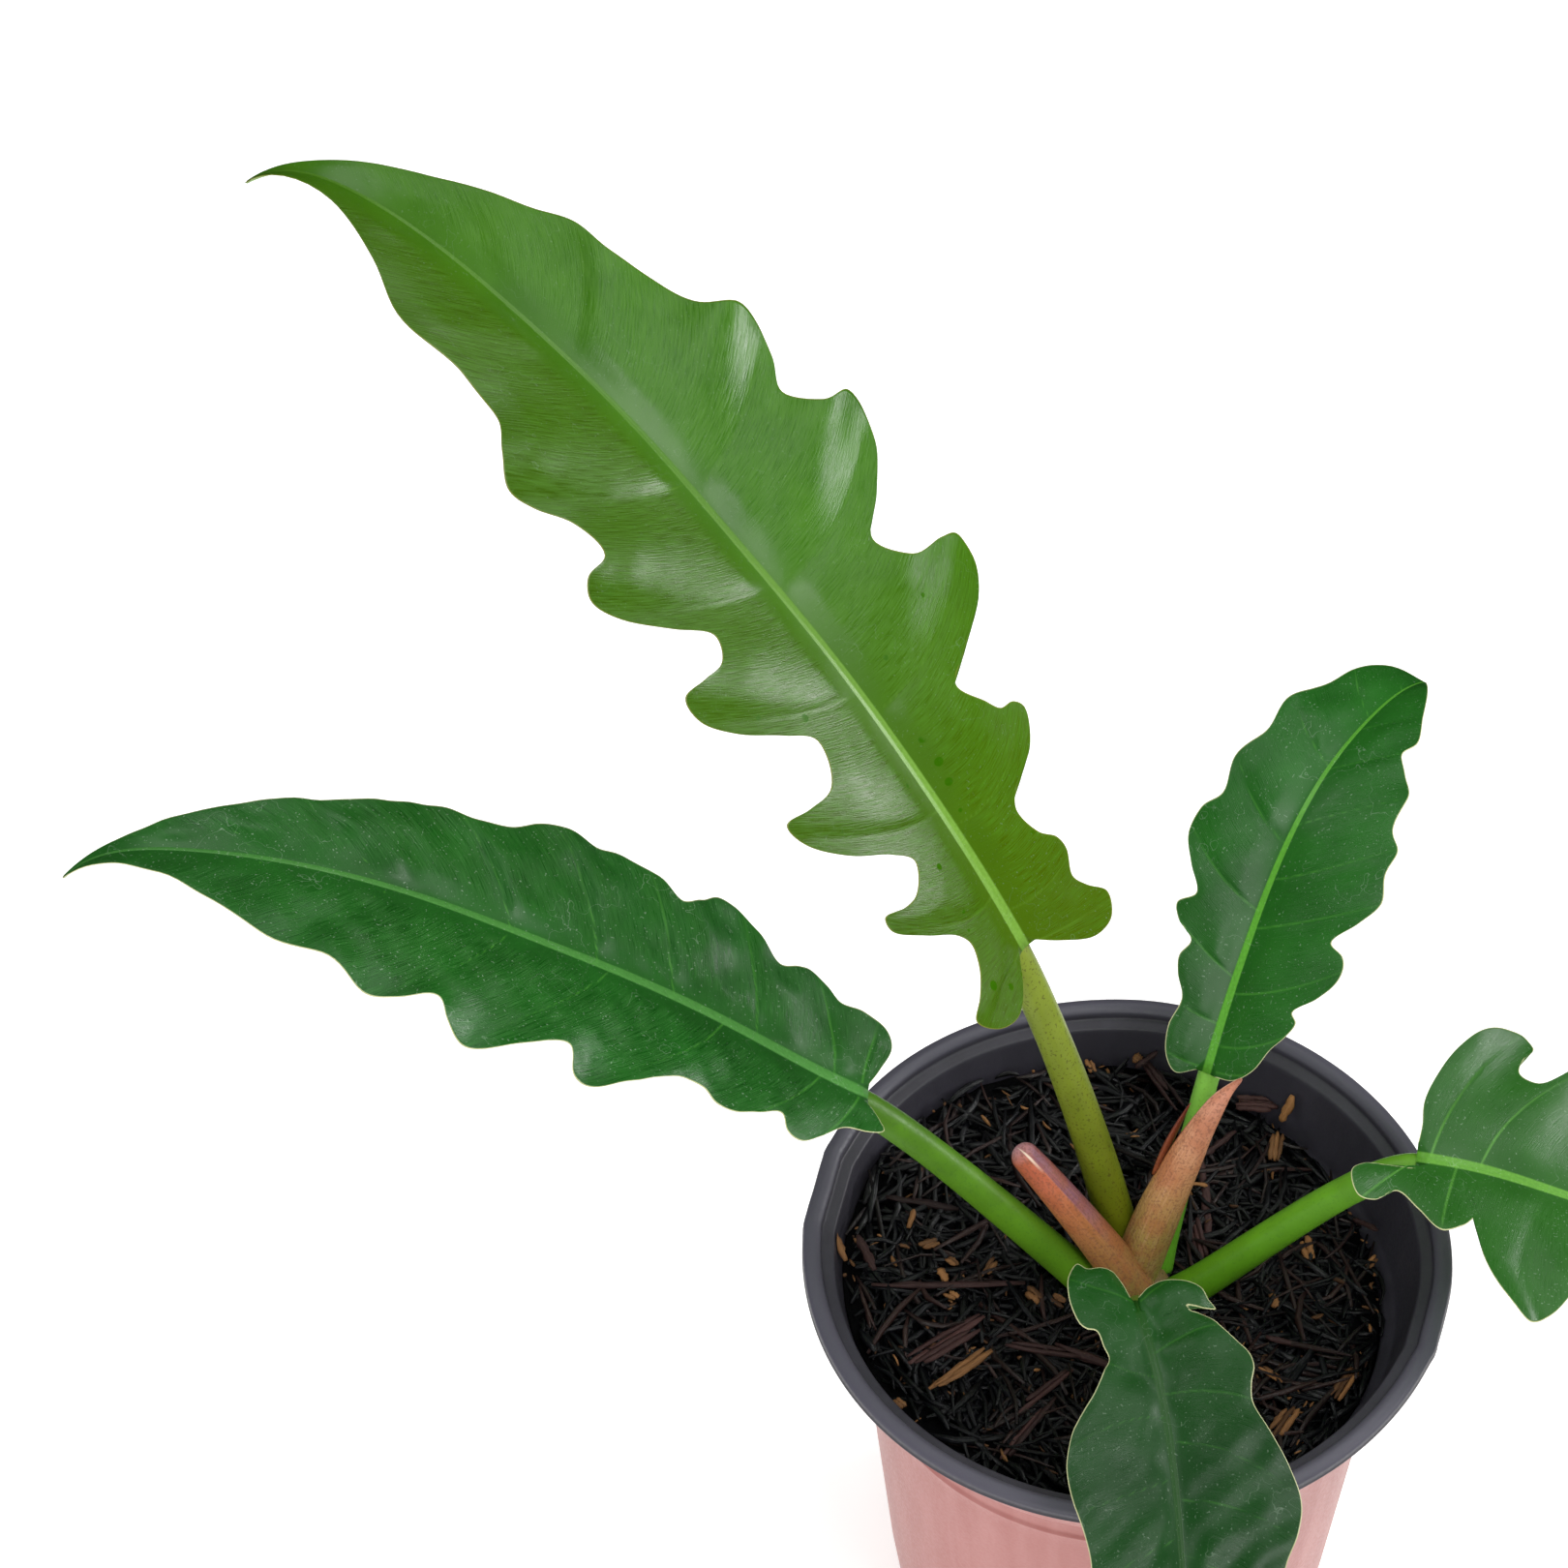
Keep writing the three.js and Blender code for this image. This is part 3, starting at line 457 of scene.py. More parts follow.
def edge_curve(points, samples):
    """A centripetal Catmull-Rom curve through [along, out] points."""
    p = np.asarray(points, dtype=float)
    p = np.vstack([2 * p[0] - p[1], p, 2 * p[-1] - p[-2]])
    made = []
    for i in range(1, len(p) - 2):
        a, b, c, d = p[i - 1:i + 3]
        t0 = 0.0
        t1 = t0 + max(np.hypot(*(b - a)), 1e-6) ** 0.5
        t2 = t1 + max(np.hypot(*(c - b)), 1e-6) ** 0.5
        t3 = t2 + max(np.hypot(*(d - c)), 1e-6) ** 0.5
        for k in range(samples):
            t = t1 + (t2 - t1) * k / samples
            ab = ((t1 - t) * a + (t - t0) * b) / (t1 - t0)
            bc = ((t2 - t) * b + (t - t1) * c) / (t2 - t1)
            cd = ((t3 - t) * c + (t - t2) * d) / (t3 - t2)
            abc = ((t2 - t) * ab + (t - t0) * bc) / (t2 - t0)
            bcd = ((t3 - t) * bc + (t - t1) * cd) / (t3 - t1)
            made.append(((t2 - t) * abc + (t - t1) * bcd) / (t2 - t1))
    made.append(p[-2])
    return np.array(made)


def soft_noise(points, size, seed):
    """Smooth random heights from -1 to 1 at points, as a sum of sine waves about size long."""
    random = np.random.default_rng(seed)
    points = np.asarray(points, dtype=float)
    total = np.zeros(len(points))
    waves = 10
    for _ in range(waves):
        turn = unit(random.normal(size=points.shape[-1]))
        rate = 2 * np.pi / (size * random.uniform(0.7, 1.5))
        total += np.sin(points @ turn * rate + random.uniform(0, 2 * np.pi))
    return total / waves ** 0.5


# Meshes and pieces


def make_piece(name, verts, faces, materials, nodes, face_material=None, values=None):
    """A smooth mesh piece on the root body that stands for the named CAD nodes."""
    mesh = bpy.data.meshes.new(name)
    mesh.from_pydata((np.asarray(verts) * MM).tolist(), [], faces)
    for material in materials:
        mesh.materials.append(material)
    if face_material is not None:
        mesh.polygons.foreach_set("material_index", np.asarray(face_material, dtype=np.int32))
    for key, data in (values or {}).items():
        data = np.asarray(data, dtype=np.float32)
        kind = "FLOAT_VECTOR" if data.ndim == 2 else "FLOAT"
        field = "vector" if data.ndim == 2 else "value"
        mesh.attributes.new(key, kind, "POINT").data.foreach_set(field, data.ravel())
    mesh.polygons.foreach_set("use_smooth", [True] * len(mesh.polygons))
    mesh.update()
    piece = bpy.data.objects.new(name, mesh)
    bpy.context.scene.collection.objects.link(piece)
    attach(piece, "root")
    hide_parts(*nodes)
    return piece


def grid_faces(rows, columns, start=0, flip=False, closed=False):
    """Quads between neighbouring points of a grid, joined round its rows if closed."""
    faces = []
    last = columns if closed else columns - 1
    for k in range(rows - 1):
        for j in range(last):
            a = start + k * columns + j
            b = start + k * columns + (j + 1) % columns
            quad = [a, b, b + columns, a + columns]
            faces.append(quad[::-1] if flip else quad)
    return faces


def end_fans(last, sides):
    """Triangles that close both ends of a row of rings, round point 0 and round the last point."""
    faces = []
    for j in range(sides):
        k = (j + 1) % sides
        faces.append([0, 1 + k, 1 + j])
        faces.append([last, last - sides + j, last - sides + k])
    return faces


def loft(rings, sides, outline=None):
    """Points and faces of a closed body through rings of {point, right, up, radius}, facing out."""
    angles = np.linspace(0, 2 * np.pi, sides, endpoint=False)
    verts = [rings[0]["point"]]
    for i, ring in enumerate(rings):
        radius = ring["radius"] * (outline(i / (len(rings) - 1), angles) if outline else 1)
        flatten = ring.get("flatten", 1)
        verts.extend(
            ring["point"]
            + np.outer(radius * np.cos(angles), ring["right"])
            + np.outer(radius * np.sin(angles) * flatten, ring["up"])
        )
    verts.append(rings[-1]["point"])
    faces = grid_faces(len(rings), sides, start=1, closed=True) + end_fans(len(verts) - 1, sides)
    ahead = rings[1]["point"] - rings[0]["point"]
    if np.dot(np.cross(rings[0]["right"], rings[0]["up"]), ahead) < 0:
        faces = [face[::-1] for face in faces]
    return np.array(verts), faces


def share_of_rings(rings, sides):
    """For each point of a loft, how far along it lies, from 0 to 1."""
    return np.concatenate([[0], np.repeat(np.arange(rings) / (rings - 1), sides), [1]])


# Leaf blades


def blade_rows(leaf, samples):
    """Where each row leaves the midrib, and its left and right edge points."""
    left, right = (edge_curve(leaf[side], samples) for side in ("left", "right"))

    def ramp(s):
        return (s + np.hypot(s, 8)) / 2

    wanted = sum(ramp(edge[:, 0] - VEIN_SLANT * edge[:, 1]) for edge in (left, right)) / 2
    wanted *= leaf["length"] / ramp(leaf["length"])
    starts = [0.0]
    for value in wanted[1:-1]:
        starts.append(max(value, starts[-1] + 0.3 / samples))
    starts.append(float(leaf["length"]))
    return np.array(starts), left, right


def vein_places(veins, u, v):
    """Place between side veins, as a vein number that is whole on a vein, and how far the nearest
    veins lie back toward the base and on toward the tip."""
    lines = [start + slope * v + bend * v**2 for start, slope, bend in veins]
    lines = [lines[0] - 14] + lines + [lines[-1] + 30]
    number = np.zeros_like(u)
    back = np.full_like(u, 99.0)
    ahead = np.full_like(u, 99.0)
    for low, high in zip(lines, lines[1:]):
        number += np.clip((u - low) / np.maximum(high - low, 0.5), 0, 1)
    for line in lines[1:-1]:
        back = np.where(u >= line, np.minimum(back, u - line), back)
        ahead = np.where(u <= line, np.minimum(ahead, line - u), ahead)
    return number, back, ahead


def blade_height(leaf, side, u, v):
    """Height over the flat: folded up from the midrib, drooping and ruffled at the edge."""
    ruffle = leaf["ruffle"]
    half = 1 if side > 0 else 0
    reach = np.minimum(v / 30, 1.3)
    place = (u - VEIN_SLANT * v - ruffle["low"][half]) / ruffle["spacing"]
    wave = ruffle["height"] * reach**2 * np.cos(2 * np.pi * place)
    lift = np.where(u < 0, leaf.get("auricle_lift", [0.02, 0.02])[half] * u**2, 0)
    lift -= leaf.get("auricle_curl", [0, 0])[half] * np.maximum(v - 9, 0) ** 2 * smooth_step(10, 4, u)
    return v * math.sin(math.radians(leaf["fold"])) - EDGE_DROOP * v**2 - wave + lift


def blade_relief(leaf, side, u, v, gap, back, ahead):
    """Height of the fine forms: swellings between the side veins, lumps, hollows and creases."""
    half = 1 if side > 0 else 0
    near, far = (ahead, back) if side > 0 else (back, ahead)
    rise, width = (leaf["swell"][key][half] for key in ("height", "width"))
    step, reach = (leaf["beside"][key][half] for key in ("height", "width"))
    span = np.clip(near + far, 4, 60)
    swell = (1 - np.exp(-near / width)) - near / span * (1 - np.exp(-span / width))
    fade = 1 - 0.75 * smooth_step(0.7, 1.0, u / leaf["length"])
    relief = rise * fade * smooth_step(1.5, 7, v) * smooth_step(0, 8, gap) * swell
    relief += step * (1 - 0.5 * u / leaf["length"]) * (1 - np.exp(-v / reach))
    flat_place = np.stack([u, side * v], axis=-1).reshape(-1, 2)
    relief += leaf["lumps"] * soft_noise(flat_place, 9, 4).reshape(u.shape) * smooth_step(1.5, 5, v)
    for place, out, depth, size in leaf.get("dips", []):
        gone = ((u - place) ** 2 + (side * v - out) ** 2) / size**2
        relief -= depth * np.exp(-gone) * smooth_step(0.5, 2.5, v)
    crease = np.exp(-(np.minimum(back, ahead) ** 2)) * smooth_step(0.5, 4, gap)
    crease *= 1 - 0.6 * smooth_step(10, 35, v)
    return relief - leaf["crease"] * crease * smooth_step(1.0, 3.0, v)


def blade_half(leaf, path, side, starts, edge):
    """Columns from the midrib to one edge: points of the top and bottom and their shading values."""
    along = starts / leaf["length"]
    rib = np.minimum(leaf["rib"] * (1 - 0.85 * along), 0.5 * edge[:, 1])
    inner = np.array([0, 0.3, 0.6, 0.85])
    outer = 1 - (1 - np.linspace(0, 1, BLADE_COLUMNS)) ** 1.15
    outer = np.concatenate([outer[:-1], [0.985, 1.0]])
    u = np.hstack([np.outer(starts, np.ones(len(inner))),
                   starts[:, None] + np.outer(edge[:, 0] - starts, outer)])
    v = np.hstack([np.outer(rib, inner), rib[:, None] + np.outer(edge[:, 1] - rib, outer)])

    number, back, ahead = vein_places(leaf[("left" if side < 0 else "right") + "_veins"], u, v)
    gap = np.sqrt(((u[..., None] - edge[None, None, :, 0]) ** 2
                   + (v[..., None] - edge[None, None, :, 1]) ** 2).min(axis=-1))
    height = blade_height(leaf, side, u, v) + blade_relief(leaf, side, u, v, gap, back, ahead)
    flat = side * v * math.cos(math.radians(leaf["fold"]))
    point, forward, right, up = frames_at(path, u)
    middle = point + forward * np.minimum(u, 0)[..., None]
    middle = middle + right * flat[..., None] + up * height[..., None]
    across = np.clip(v / rib[:, None], 0, 1)
    ridge = RIB_RAISE * (1 - 0.8 * along)[:, None] * (1 - across**2) ** 2
    keel = (KEEL_DEPTH * (1 - along)[:, None] ** 1.3 + 0.2) * (1 - across**2)
    thick = BLADE_THICKNESS / 2 * (0.45 + 0.55 * smooth_step(0, 2.0, gap))
    top = middle + up * (thick + ridge)[..., None]
    bottom = middle - up * (thick + keel)[..., None]
    place = np.stack([u, side * v, number], axis=-1)
    marks = np.stack([gap, v / rib[:, None], np.minimum(back, ahead)], axis=-1)
    return top, bottom, place, marks


def make_blade(name, leaf, path, materials):
    """The thin blade with its midrib and keel, closed round its edge."""
    starts, left, right = blade_rows(leaf, ROWS_PER_POINT)
    halves = [blade_half(leaf, path, side, starts, edge) for side, edge in ((-1, left), (1, right))]
    parts = []
    for left_part, right_part in zip(*halves):
        parts.append(np.concatenate([left_part[:, :0:-1], right_part], axis=1))
    top, bottom, place, marks = parts
    rows, columns = top.shape[:2]
    count = rows * columns
    verts = np.vstack([top.reshape(-1, 3), bottom.reshape(-1, 3)])
    faces = grid_faces(rows, columns) + grid_faces(rows, columns, start=count, flip=True)
    kinds = [0] * (len(faces) // 2) + [1] * (len(faces) // 2)
    rim = [k * columns for k in range(rows)]
    rim += [(rows - 1) * columns + j for j in range(1, columns)]
    rim += [k * columns + columns - 1 for k in range(rows - 2, -1, -1)]
    rim += list(range(columns - 2, 0, -1))
    for a, b in zip(rim, rim[1:] + rim[:1]):
        faces.append([a, b, b + count, a + count])
        kinds.append(0)
    values = {
        "place": np.vstack([place.reshape(-1, 3)] * 2),
        "marks": np.vstack([marks.reshape(-1, 3)] * 2),
    }
    return make_piece(name + "_blade", verts, faces, materials, [name], kinds, values)


# Leaf stalks


def stalk_rings(leaf, path):
    """Rings from the stem to under the blade, where the stalk thins out along the midrib."""
    stalk = leaf["stalk"]
    point, forward, _, up = frame_at(path, STALK_OVERLAP)
    start = np.array(stalk["foot"], dtype=float)
    end = point - up * stalk["radii"][1]
    reach = np.linalg.norm(end - start)
    knots = [
        start,
        start + direction(stalk["climb"], stalk["heading"]) * 0.4 * reach,
        end - forward * stalk.get("bend", 0.17) * reach,
        end,
    ]
    rings = []
    for i in range(STALK_RINGS + 1):
        t = i / STALK_RINGS
        s = 1 - t
        centre = s**3 * knots[0] + 3 * s * s * t * knots[1] + 3 * s * t * t * knots[2] + t**3 * knots[3]
        ahead = s * s * (knots[1] - knots[0]) + 2 * s * t * (knots[2] - knots[1])
        ahead = unit(ahead + t * t * (knots[3] - knots[2]))
        side = unit(np.cross(ahead, UP))
        radius = stalk["radii"][0] + (stalk["radii"][1] - stalk["radii"][0]) * min(1, 1.6 * t)
        radius *= 1 + 0.1 * math.exp(-((t / 0.07) ** 2))
        rings.append({"point": centre, "right": side, "up": np.cross(side, ahead), "radius": radius})
    for i in range(1, TAIL_RINGS + 1):
        t = i / TAIL_RINGS
        point, _, right, up = frame_at(path, STALK_OVERLAP + STALK_TAIL * t)
        radius = stalk["radii"][1] * (1 - 0.81 * t)
        rings.append({"point": point - up * radius, "right": right, "up": up, "radius": radius})
    return rings


def make_stalk(name, leaf, path, material):
    """The round stalk of a leaf."""
    rings = stalk_rings(leaf, path)
    verts, faces = loft(rings, STALK_SIDES)
    values = {"run": share_of_rings(len(rings), STALK_SIDES)}
    return make_piece(name + "_stalk", verts, faces, [material], [name], values=values)


# Sheaths


def make_sheath(name, material):
    """A closed leaf sheath, blunt or pointed, whose one edge laps over the other down a seam."""
    sheath = SHEATHS[name]
    path = walk(sheath["foot"], sheath["length"], sheath["climb"], sheath["heading"])
    runs = 1 - (1 - np.linspace(0, 1, SHEATH_RINGS + 1)) ** 1.5
    rings = []
    for t in runs:
        point, _, right, up = frame_at(path, t * sheath["length"])
        end = np.clip((t - 1 + sheath["rounding"]) / sheath["rounding"], 0, 1)
        radius = float(smooth_value(sheath["radii"], t)) * math.sqrt(1 - 0.97 * end**2)
        ring = {"point": point, "right": right, "up": up, "radius": radius}
        rings.append(ring | {"flatten": SHEATH_FLATTEN})
    angles = np.linspace(0, 2 * np.pi, SHEATH_SIDES, endpoint=False)
    from_seam = (angles - math.radians(sheath["seam"]) + math.pi) % (2 * math.pi) - math.pi

    def outline(t, angles):
        lap = 0.05 + 0.12 * smooth_step(0.3, 0.97, t)
        step = lap * np.where(from_seam > 0, np.exp(-from_seam / 0.5), 0)
        return 1 + step - 0.03 * np.exp(-((from_seam / 0.05) ** 2)) + 0.006 * np.sin(17 * angles + 3 * t)

    verts, faces = loft(rings, SHEATH_SIDES, outline)
    run = np.concatenate([[0], np.repeat(runs, SHEATH_SIDES), [1]])
    turn = np.concatenate([[0], np.tile(from_seam, len(runs)), [0]])
    values = {"skin": np.column_stack([run, turn, np.zeros(len(run))])}
    return make_piece(name + "_skin", verts, faces, [material], [name], values=values)


def make_flap(material):
    """The short dry flap that stands off the right sheath's upper side."""
    sheath = SHEATHS["sheath_right"]
    path = walk(sheath["foot"], sheath["length"], sheath["climb"], sheath["heading"])
    rings = []
    for i in range(FLAP_RINGS + 1):
        t = i / FLAP_RINGS
        run = FLAP_START + FLAP_REACH * t
        point, _, right, up = frame_at(path, run * sheath["length"])
        skin = float(smooth_value(sheath["radii"], run))
        rings.append({
            "point": point - right * (0.8 * skin + FLAP_STAND_OFF * t) + up * 0.6 * skin,
            "right": unit(up + 0.5 * right),
            "up": unit(right - 0.5 * up),
            "radius": 0.3 + 2.3 * math.sin(math.pi * min(1, 0.25 + 0.75 * t)) ** 0.8,
            "flatten": 0.3,
        })
    verts, faces = loft(rings, FLAP_SIDES)
    values = {"run": share_of_rings(len(rings), FLAP_SIDES)}
    make_piece("sheath_right_flap", verts, faces, [material], ["sheath_right"], values=values)


# Pot


def pot_profile():
    """The sheet's outline as [radius, height, 0 outside or 1 inside], from the middle underneath."""
    channel_in, channel_out = FLOOR_CHANNEL
    rise = FLOOR_CHANNEL_RISE
    lip_under = POT_HEIGHT - 1.3
    skirt_end = POT_HEIGHT - LIP_SKIRT
    ledge = POT_HEIGHT - NECK_DEPTH
    outside = [
        [0, 0], [FLOOR_DISC_RADIUS, 0], [channel_in, rise], [channel_out, rise],
        [FOOT_RING[0], 0], [FOOT_RING[1], 0], *WALL_OUTSIDE[:3], *WALL_BEAD, *WALL_OUTSIDE[3:],
        [NECK_RADIUS + POT_WALL, ledge - POT_WALL], [NECK_RADIUS + POT_WALL, lip_under],
    ]
    lip = [
        [LIP_RADIUS - 1.3, lip_under], [LIP_RADIUS - 1, lip_under - 0.3],
        [LIP_RADIUS - 1, skirt_end], [LIP_RADIUS - 0.4, skirt_end - 0.1],
        [LIP_RADIUS + 0.05, skirt_end + 0.35], [LIP_RADIUS - 0.2, skirt_end + 1.0],
        [LIP_RADIUS - 0.15, POT_HEIGHT - 1.3], [LIP_RADIUS - 0.3, POT_HEIGHT - 0.8],
        [LIP_RADIUS - 0.9, POT_HEIGHT - 0.35], [LIP_CREST + 0.5, POT_HEIGHT - 0.02],
        [LIP_CREST - 0.3, POT_HEIGHT], [LIP_CREST - 1.2, POT_HEIGHT - 0.4],
        [NECK_RADIUS + 0.15, POT_HEIGHT - 1.2], [NECK_RADIUS, ledge + 0.3],
        [NECK_RADIUS - 0.6, ledge], [WALL_OUTSIDE[-1][0] - POT_WALL + 0.4, ledge - 0.3],
    ]
    inside = [[r - POT_WALL, z] for r, z in WALL_OUTSIDE][::-1] + [
        [FOOT_RING[1] - 1.2, POT_WALL], [FOOT_RING[0] - 0.3, POT_WALL],
        [channel_out - 0.3, rise + POT_WALL], [channel_in + 0.3, rise + POT_WALL],
        [FLOOR_DISC_RADIUS + 0.3, POT_WALL], [0, POT_WALL],
    ]
    return [[r, z, 0] for r, z in outside] + [[r, z, 1] for r, z in lip + inside]


def finer(points, longest):
    """The same outline with rounded corners and no stretch longer than the limit."""
    rounded = [points[0]]
    for before, here, after in zip(points, points[1:], points[2:]):
        p, q, r = (np.array(x, dtype=float) for x in (before, here, after))
        first, second = np.linalg.norm(q - p), np.linalg.norm(r - q)
        cut = min(0.8, 0.35 * first, 0.35 * second)
        a = q + (p - q) * cut / first
        b = q + (r - q) * cut / second
        for t in (0, 0.5, 1):
            corner = (1 - t) ** 2 * a + 2 * t * (1 - t) * q + t * t * b
            corner[2] = here[2]
            rounded.append(corner.tolist())
    rounded.append(points[-1])
    made = [rounded[0]]
    for here in rounded[1:]:
        last = np.array(made[-1], dtype=float)
        here = np.array(here, dtype=float)
        steps = max(1, math.ceil(np.linalg.norm(here[:2] - last[:2]) / longest))
        for k in range(1, steps + 1):
            point = last + (here - last) * k / steps
            point[2] = here[2]
            made.append(point.tolist())
    return made


def make_pot(outside, inside):
    """The thermoformed pot, turned from its outline, with slight dents in its lip."""
    profile = np.array(finer(pot_profile(), LONGEST_SPAN))
    rings = profile[1:-1]
    angles = np.linspace(0, 2 * np.pi, POT_SIDES, endpoint=False)
    radius = np.repeat(rings[:, 0], POT_SIDES)
    height = np.repeat(rings[:, 1], POT_SIDES)
    turn = np.tile(angles, len(rings))
    high = smooth_step(60, POT_HEIGHT, height)
    radius += high * WALL_WOBBLE * (np.sin(3 * turn + 0.6) + 0.5 * np.sin(5 * turn + 2.0))
    for place, depth, width in LIP_DENTS:
        gap = (turn - math.radians(place) + math.pi) % (2 * math.pi) - math.pi
        radius -= depth * np.exp(-((gap / math.radians(width)) ** 2)) * smooth_step(120, POT_HEIGHT, height)
    body = np.stack([radius * np.cos(turn), radius * np.sin(turn), height], axis=-1)
    verts = np.vstack([[[0, 0, profile[0][1]]], body, [[0, 0, profile[-1][1]]]])
    faces = grid_faces(len(rings), POT_SIDES, start=1, closed=True) + end_fans(len(verts) - 1, POT_SIDES)
    kinds = np.repeat(rings[1:, 2], POT_SIDES).astype(int).tolist() + [0, 1] * POT_SIDES
    return make_piece("pot_shell", verts, faces, [outside, inside], ["pot"], kinds)


def cut_drain_holes(pot):
    """Punches the round drain holes through the pot's raised floor channel."""
    tools = bpy.data.meshes.new("drain_punch")
    verts, faces = [], []
    for i in range(DRAIN_HOLES):
        turn = 2 * math.pi * (i + 0.5) / DRAIN_HOLES
        middle = sum(FLOOR_CHANNEL) / 2
        centre = np.array([middle * math.cos(turn), middle * math.sin(turn), 0])
        rings = [
            {"point": centre + [0, 0, z], "right": np.array([1.0, 0, 0]), "up": np.array([0, 1.0, 0]),
             "radius": DRAIN_RADIUS} for z in (-3.0, 9.0)
        ]
        points, quads = loft(rings, DRAIN_SIDES)
        faces += [[k + len(verts) for k in face] for face in quads]
        verts += (points * MM).tolist()
    tools.from_pydata(verts, [], faces)
    punch = bpy.data.objects.new("drain_punch", tools)
    bpy.context.scene.collection.objects.link(punch)
    cut = pot.modifiers.new("drain_holes", "BOOLEAN")
    cut.operation = "DIFFERENCE"
    cut.solver = "EXACT"
    cut.object = punch
    apply_modifiers(pot)
    bpy.data.objects.remove(punch)


def apply_modifiers(piece):
    """Puts the result of a piece's modifiers into its own mesh."""
    graph = bpy.context.evaluated_depsgraph_get()
    made = bpy.data.meshes.new_from_object(piece.evaluated_get(graph))
    piece.modifiers.clear()
    piece.data = made


# Potting mix


def mix_height(points):
    """Height of the mix's rough surface at flat points."""
    slope = points @ np.array(MIX_SLOPE)
    return MIX_TOP + slope + 0.6 * soft_noise(points, 26, 5) + 0.3 * soft_noise(points, 7, 6)


def reach_table():
    """How far the mix's surface reaches at each degree before it meets the pot's wall."""
    angles = np.radians(np.arange(361))
    flat = np.stack([np.cos(angles), np.sin(angles)], axis=-1)
    reach = np.full(len(angles), 63.0)
    for _ in range(6):
        reach = wall_inside(mix_height(flat * reach[:, None]))
    return reach


def wall_inside(heights):
    """Radius of the mix's side at the given heights, just clear of the wall."""
    radii, places = np.transpose(WALL_OUTSIDE)
    return np.interp(heights, places, radii - POT_WALL - MIX_GAP - MIX_CLEARANCE)


def mix_reach(angles):
    """Reach of the mix at angles in radians."""
    return np.interp(np.degrees(angles) % 360, np.arange(361), MIX_REACH)


MIX_REACH = reach_table()


def make_mix_bed(material):
    """The body of the mix: a plug that fills the pot, with a rough dark top under the loose sticks."""
    channel_in, channel_out = FLOOR_CHANNEL
    floor = POT_WALL + MIX_GAP
    below = [
        [FLOOR_DISC_RADIUS, floor], [channel_in, FLOOR_CHANNEL_RISE + floor],
        [channel_out, FLOOR_CHANNEL_RISE + floor], [FOOT_RING[0], floor], [45.6, floor],
    ]
    below += [[wall_inside(z), z] for _, z in WALL_OUTSIDE[:3]]
    angles = np.linspace(0, 2 * np.pi, MIX_SIDES, endpoint=False)
    flat = np.stack([np.cos(angles), np.sin(angles)], axis=-1)
    rim = mix_height(flat * mix_reach(angles)[:, None]) - BED_DEPTH
    verts = [[0, 0, floor]]
    for radius, height in below:
        verts.extend(np.column_stack([flat * radius, np.full(MIX_SIDES, float(height))]).tolist())
    for height in (np.minimum(rim - 1.0, 109.0), np.minimum(rim - 0.5, 112.4), rim):
        verts.extend(np.column_stack([flat * wall_inside(height)[:, None], height]).tolist())
    for share in np.linspace(0.99, 0.015, MIX_RINGS):
        ring = flat * (wall_inside(rim) * share)[:, None]
        top = mix_height(ring) - BED_DEPTH + 0.5 * soft_noise(ring, 2.2, 9)
        verts.extend(np.column_stack([ring, top]).tolist())
    verts.append([0, 0, MIX_TOP - BED_DEPTH])
    faces = grid_faces(len(below) + 3 + MIX_RINGS, MIX_SIDES, start=1, closed=True)
    faces += end_fans(len(verts) - 1, MIX_SIDES)
    return make_piece("mix_bed", verts, faces, [material], ["potting_mix"])


def litter(count, lengths, widths, heights, seed):
    """Loose bits scattered on the mix, clear of the stem and the pot."""
    random = np.random.default_rng(seed)
    bits = []
    while len(bits) < count:
        turn = random.uniform(0, 2 * math.pi)
        share = math.sqrt(random.uniform(0, 1))
        reach = mix_reach(turn)
        length = random.uniform(*lengths) * (0.6 if share > 0.9 else 1)
        width = random.uniform(*widths)
        heading = random.uniform(0, 2 * math.pi)
        flat = reach * share * np.array([math.cos(turn), math.sin(turn)])
        ahead = np.array([math.cos(heading), math.sin(heading)])
        ends = [flat + ahead * s * length / 2 for s in (-1, 1)]
        limits = mix_reach(np.array([math.atan2(end[1], end[0]) for end in ends])) - width / 2
        if any(np.linalg.norm(end) > limit for end, limit in zip(ends, limits)):
            continue
        if np.linalg.norm(flat - STEM_CENTRE) < STEM_CLEARANCE:
            continue
        low, high = (float(mix_height(end[None])[0]) for end in ends)
        rise = (high - low) / length + random.normal(0, 0.13)
        bits.append({
            "middle": np.array([flat[0], flat[1], (low + high) / 2 + random.uniform(*heights)]),
            "ahead": unit(np.array([ahead[0], ahead[1], rise])),
            "bend": random.normal(0, 0.09),
            "length": length,
            "width": width,
            "tint": random.uniform(0, 1),
            "flat": random.uniform(0.55, 1.0),
            "roll": random.uniform(0, math.pi),
            "ragged": 0.12,
        })
    return bits


def lying(start, end):
    """Middle, direction and length of a bit from start to end, each as [x, y, height over the mix]."""
    ends = []
    for x, y, over in (start, end):
        ends.append(np.array([x, y, float(mix_height(np.array([[x, y]]))[0]) + over]))
    span = ends[1] - ends[0]
    return (ends[0] + ends[1]) / 2, unit(span), float(np.linalg.norm(span))


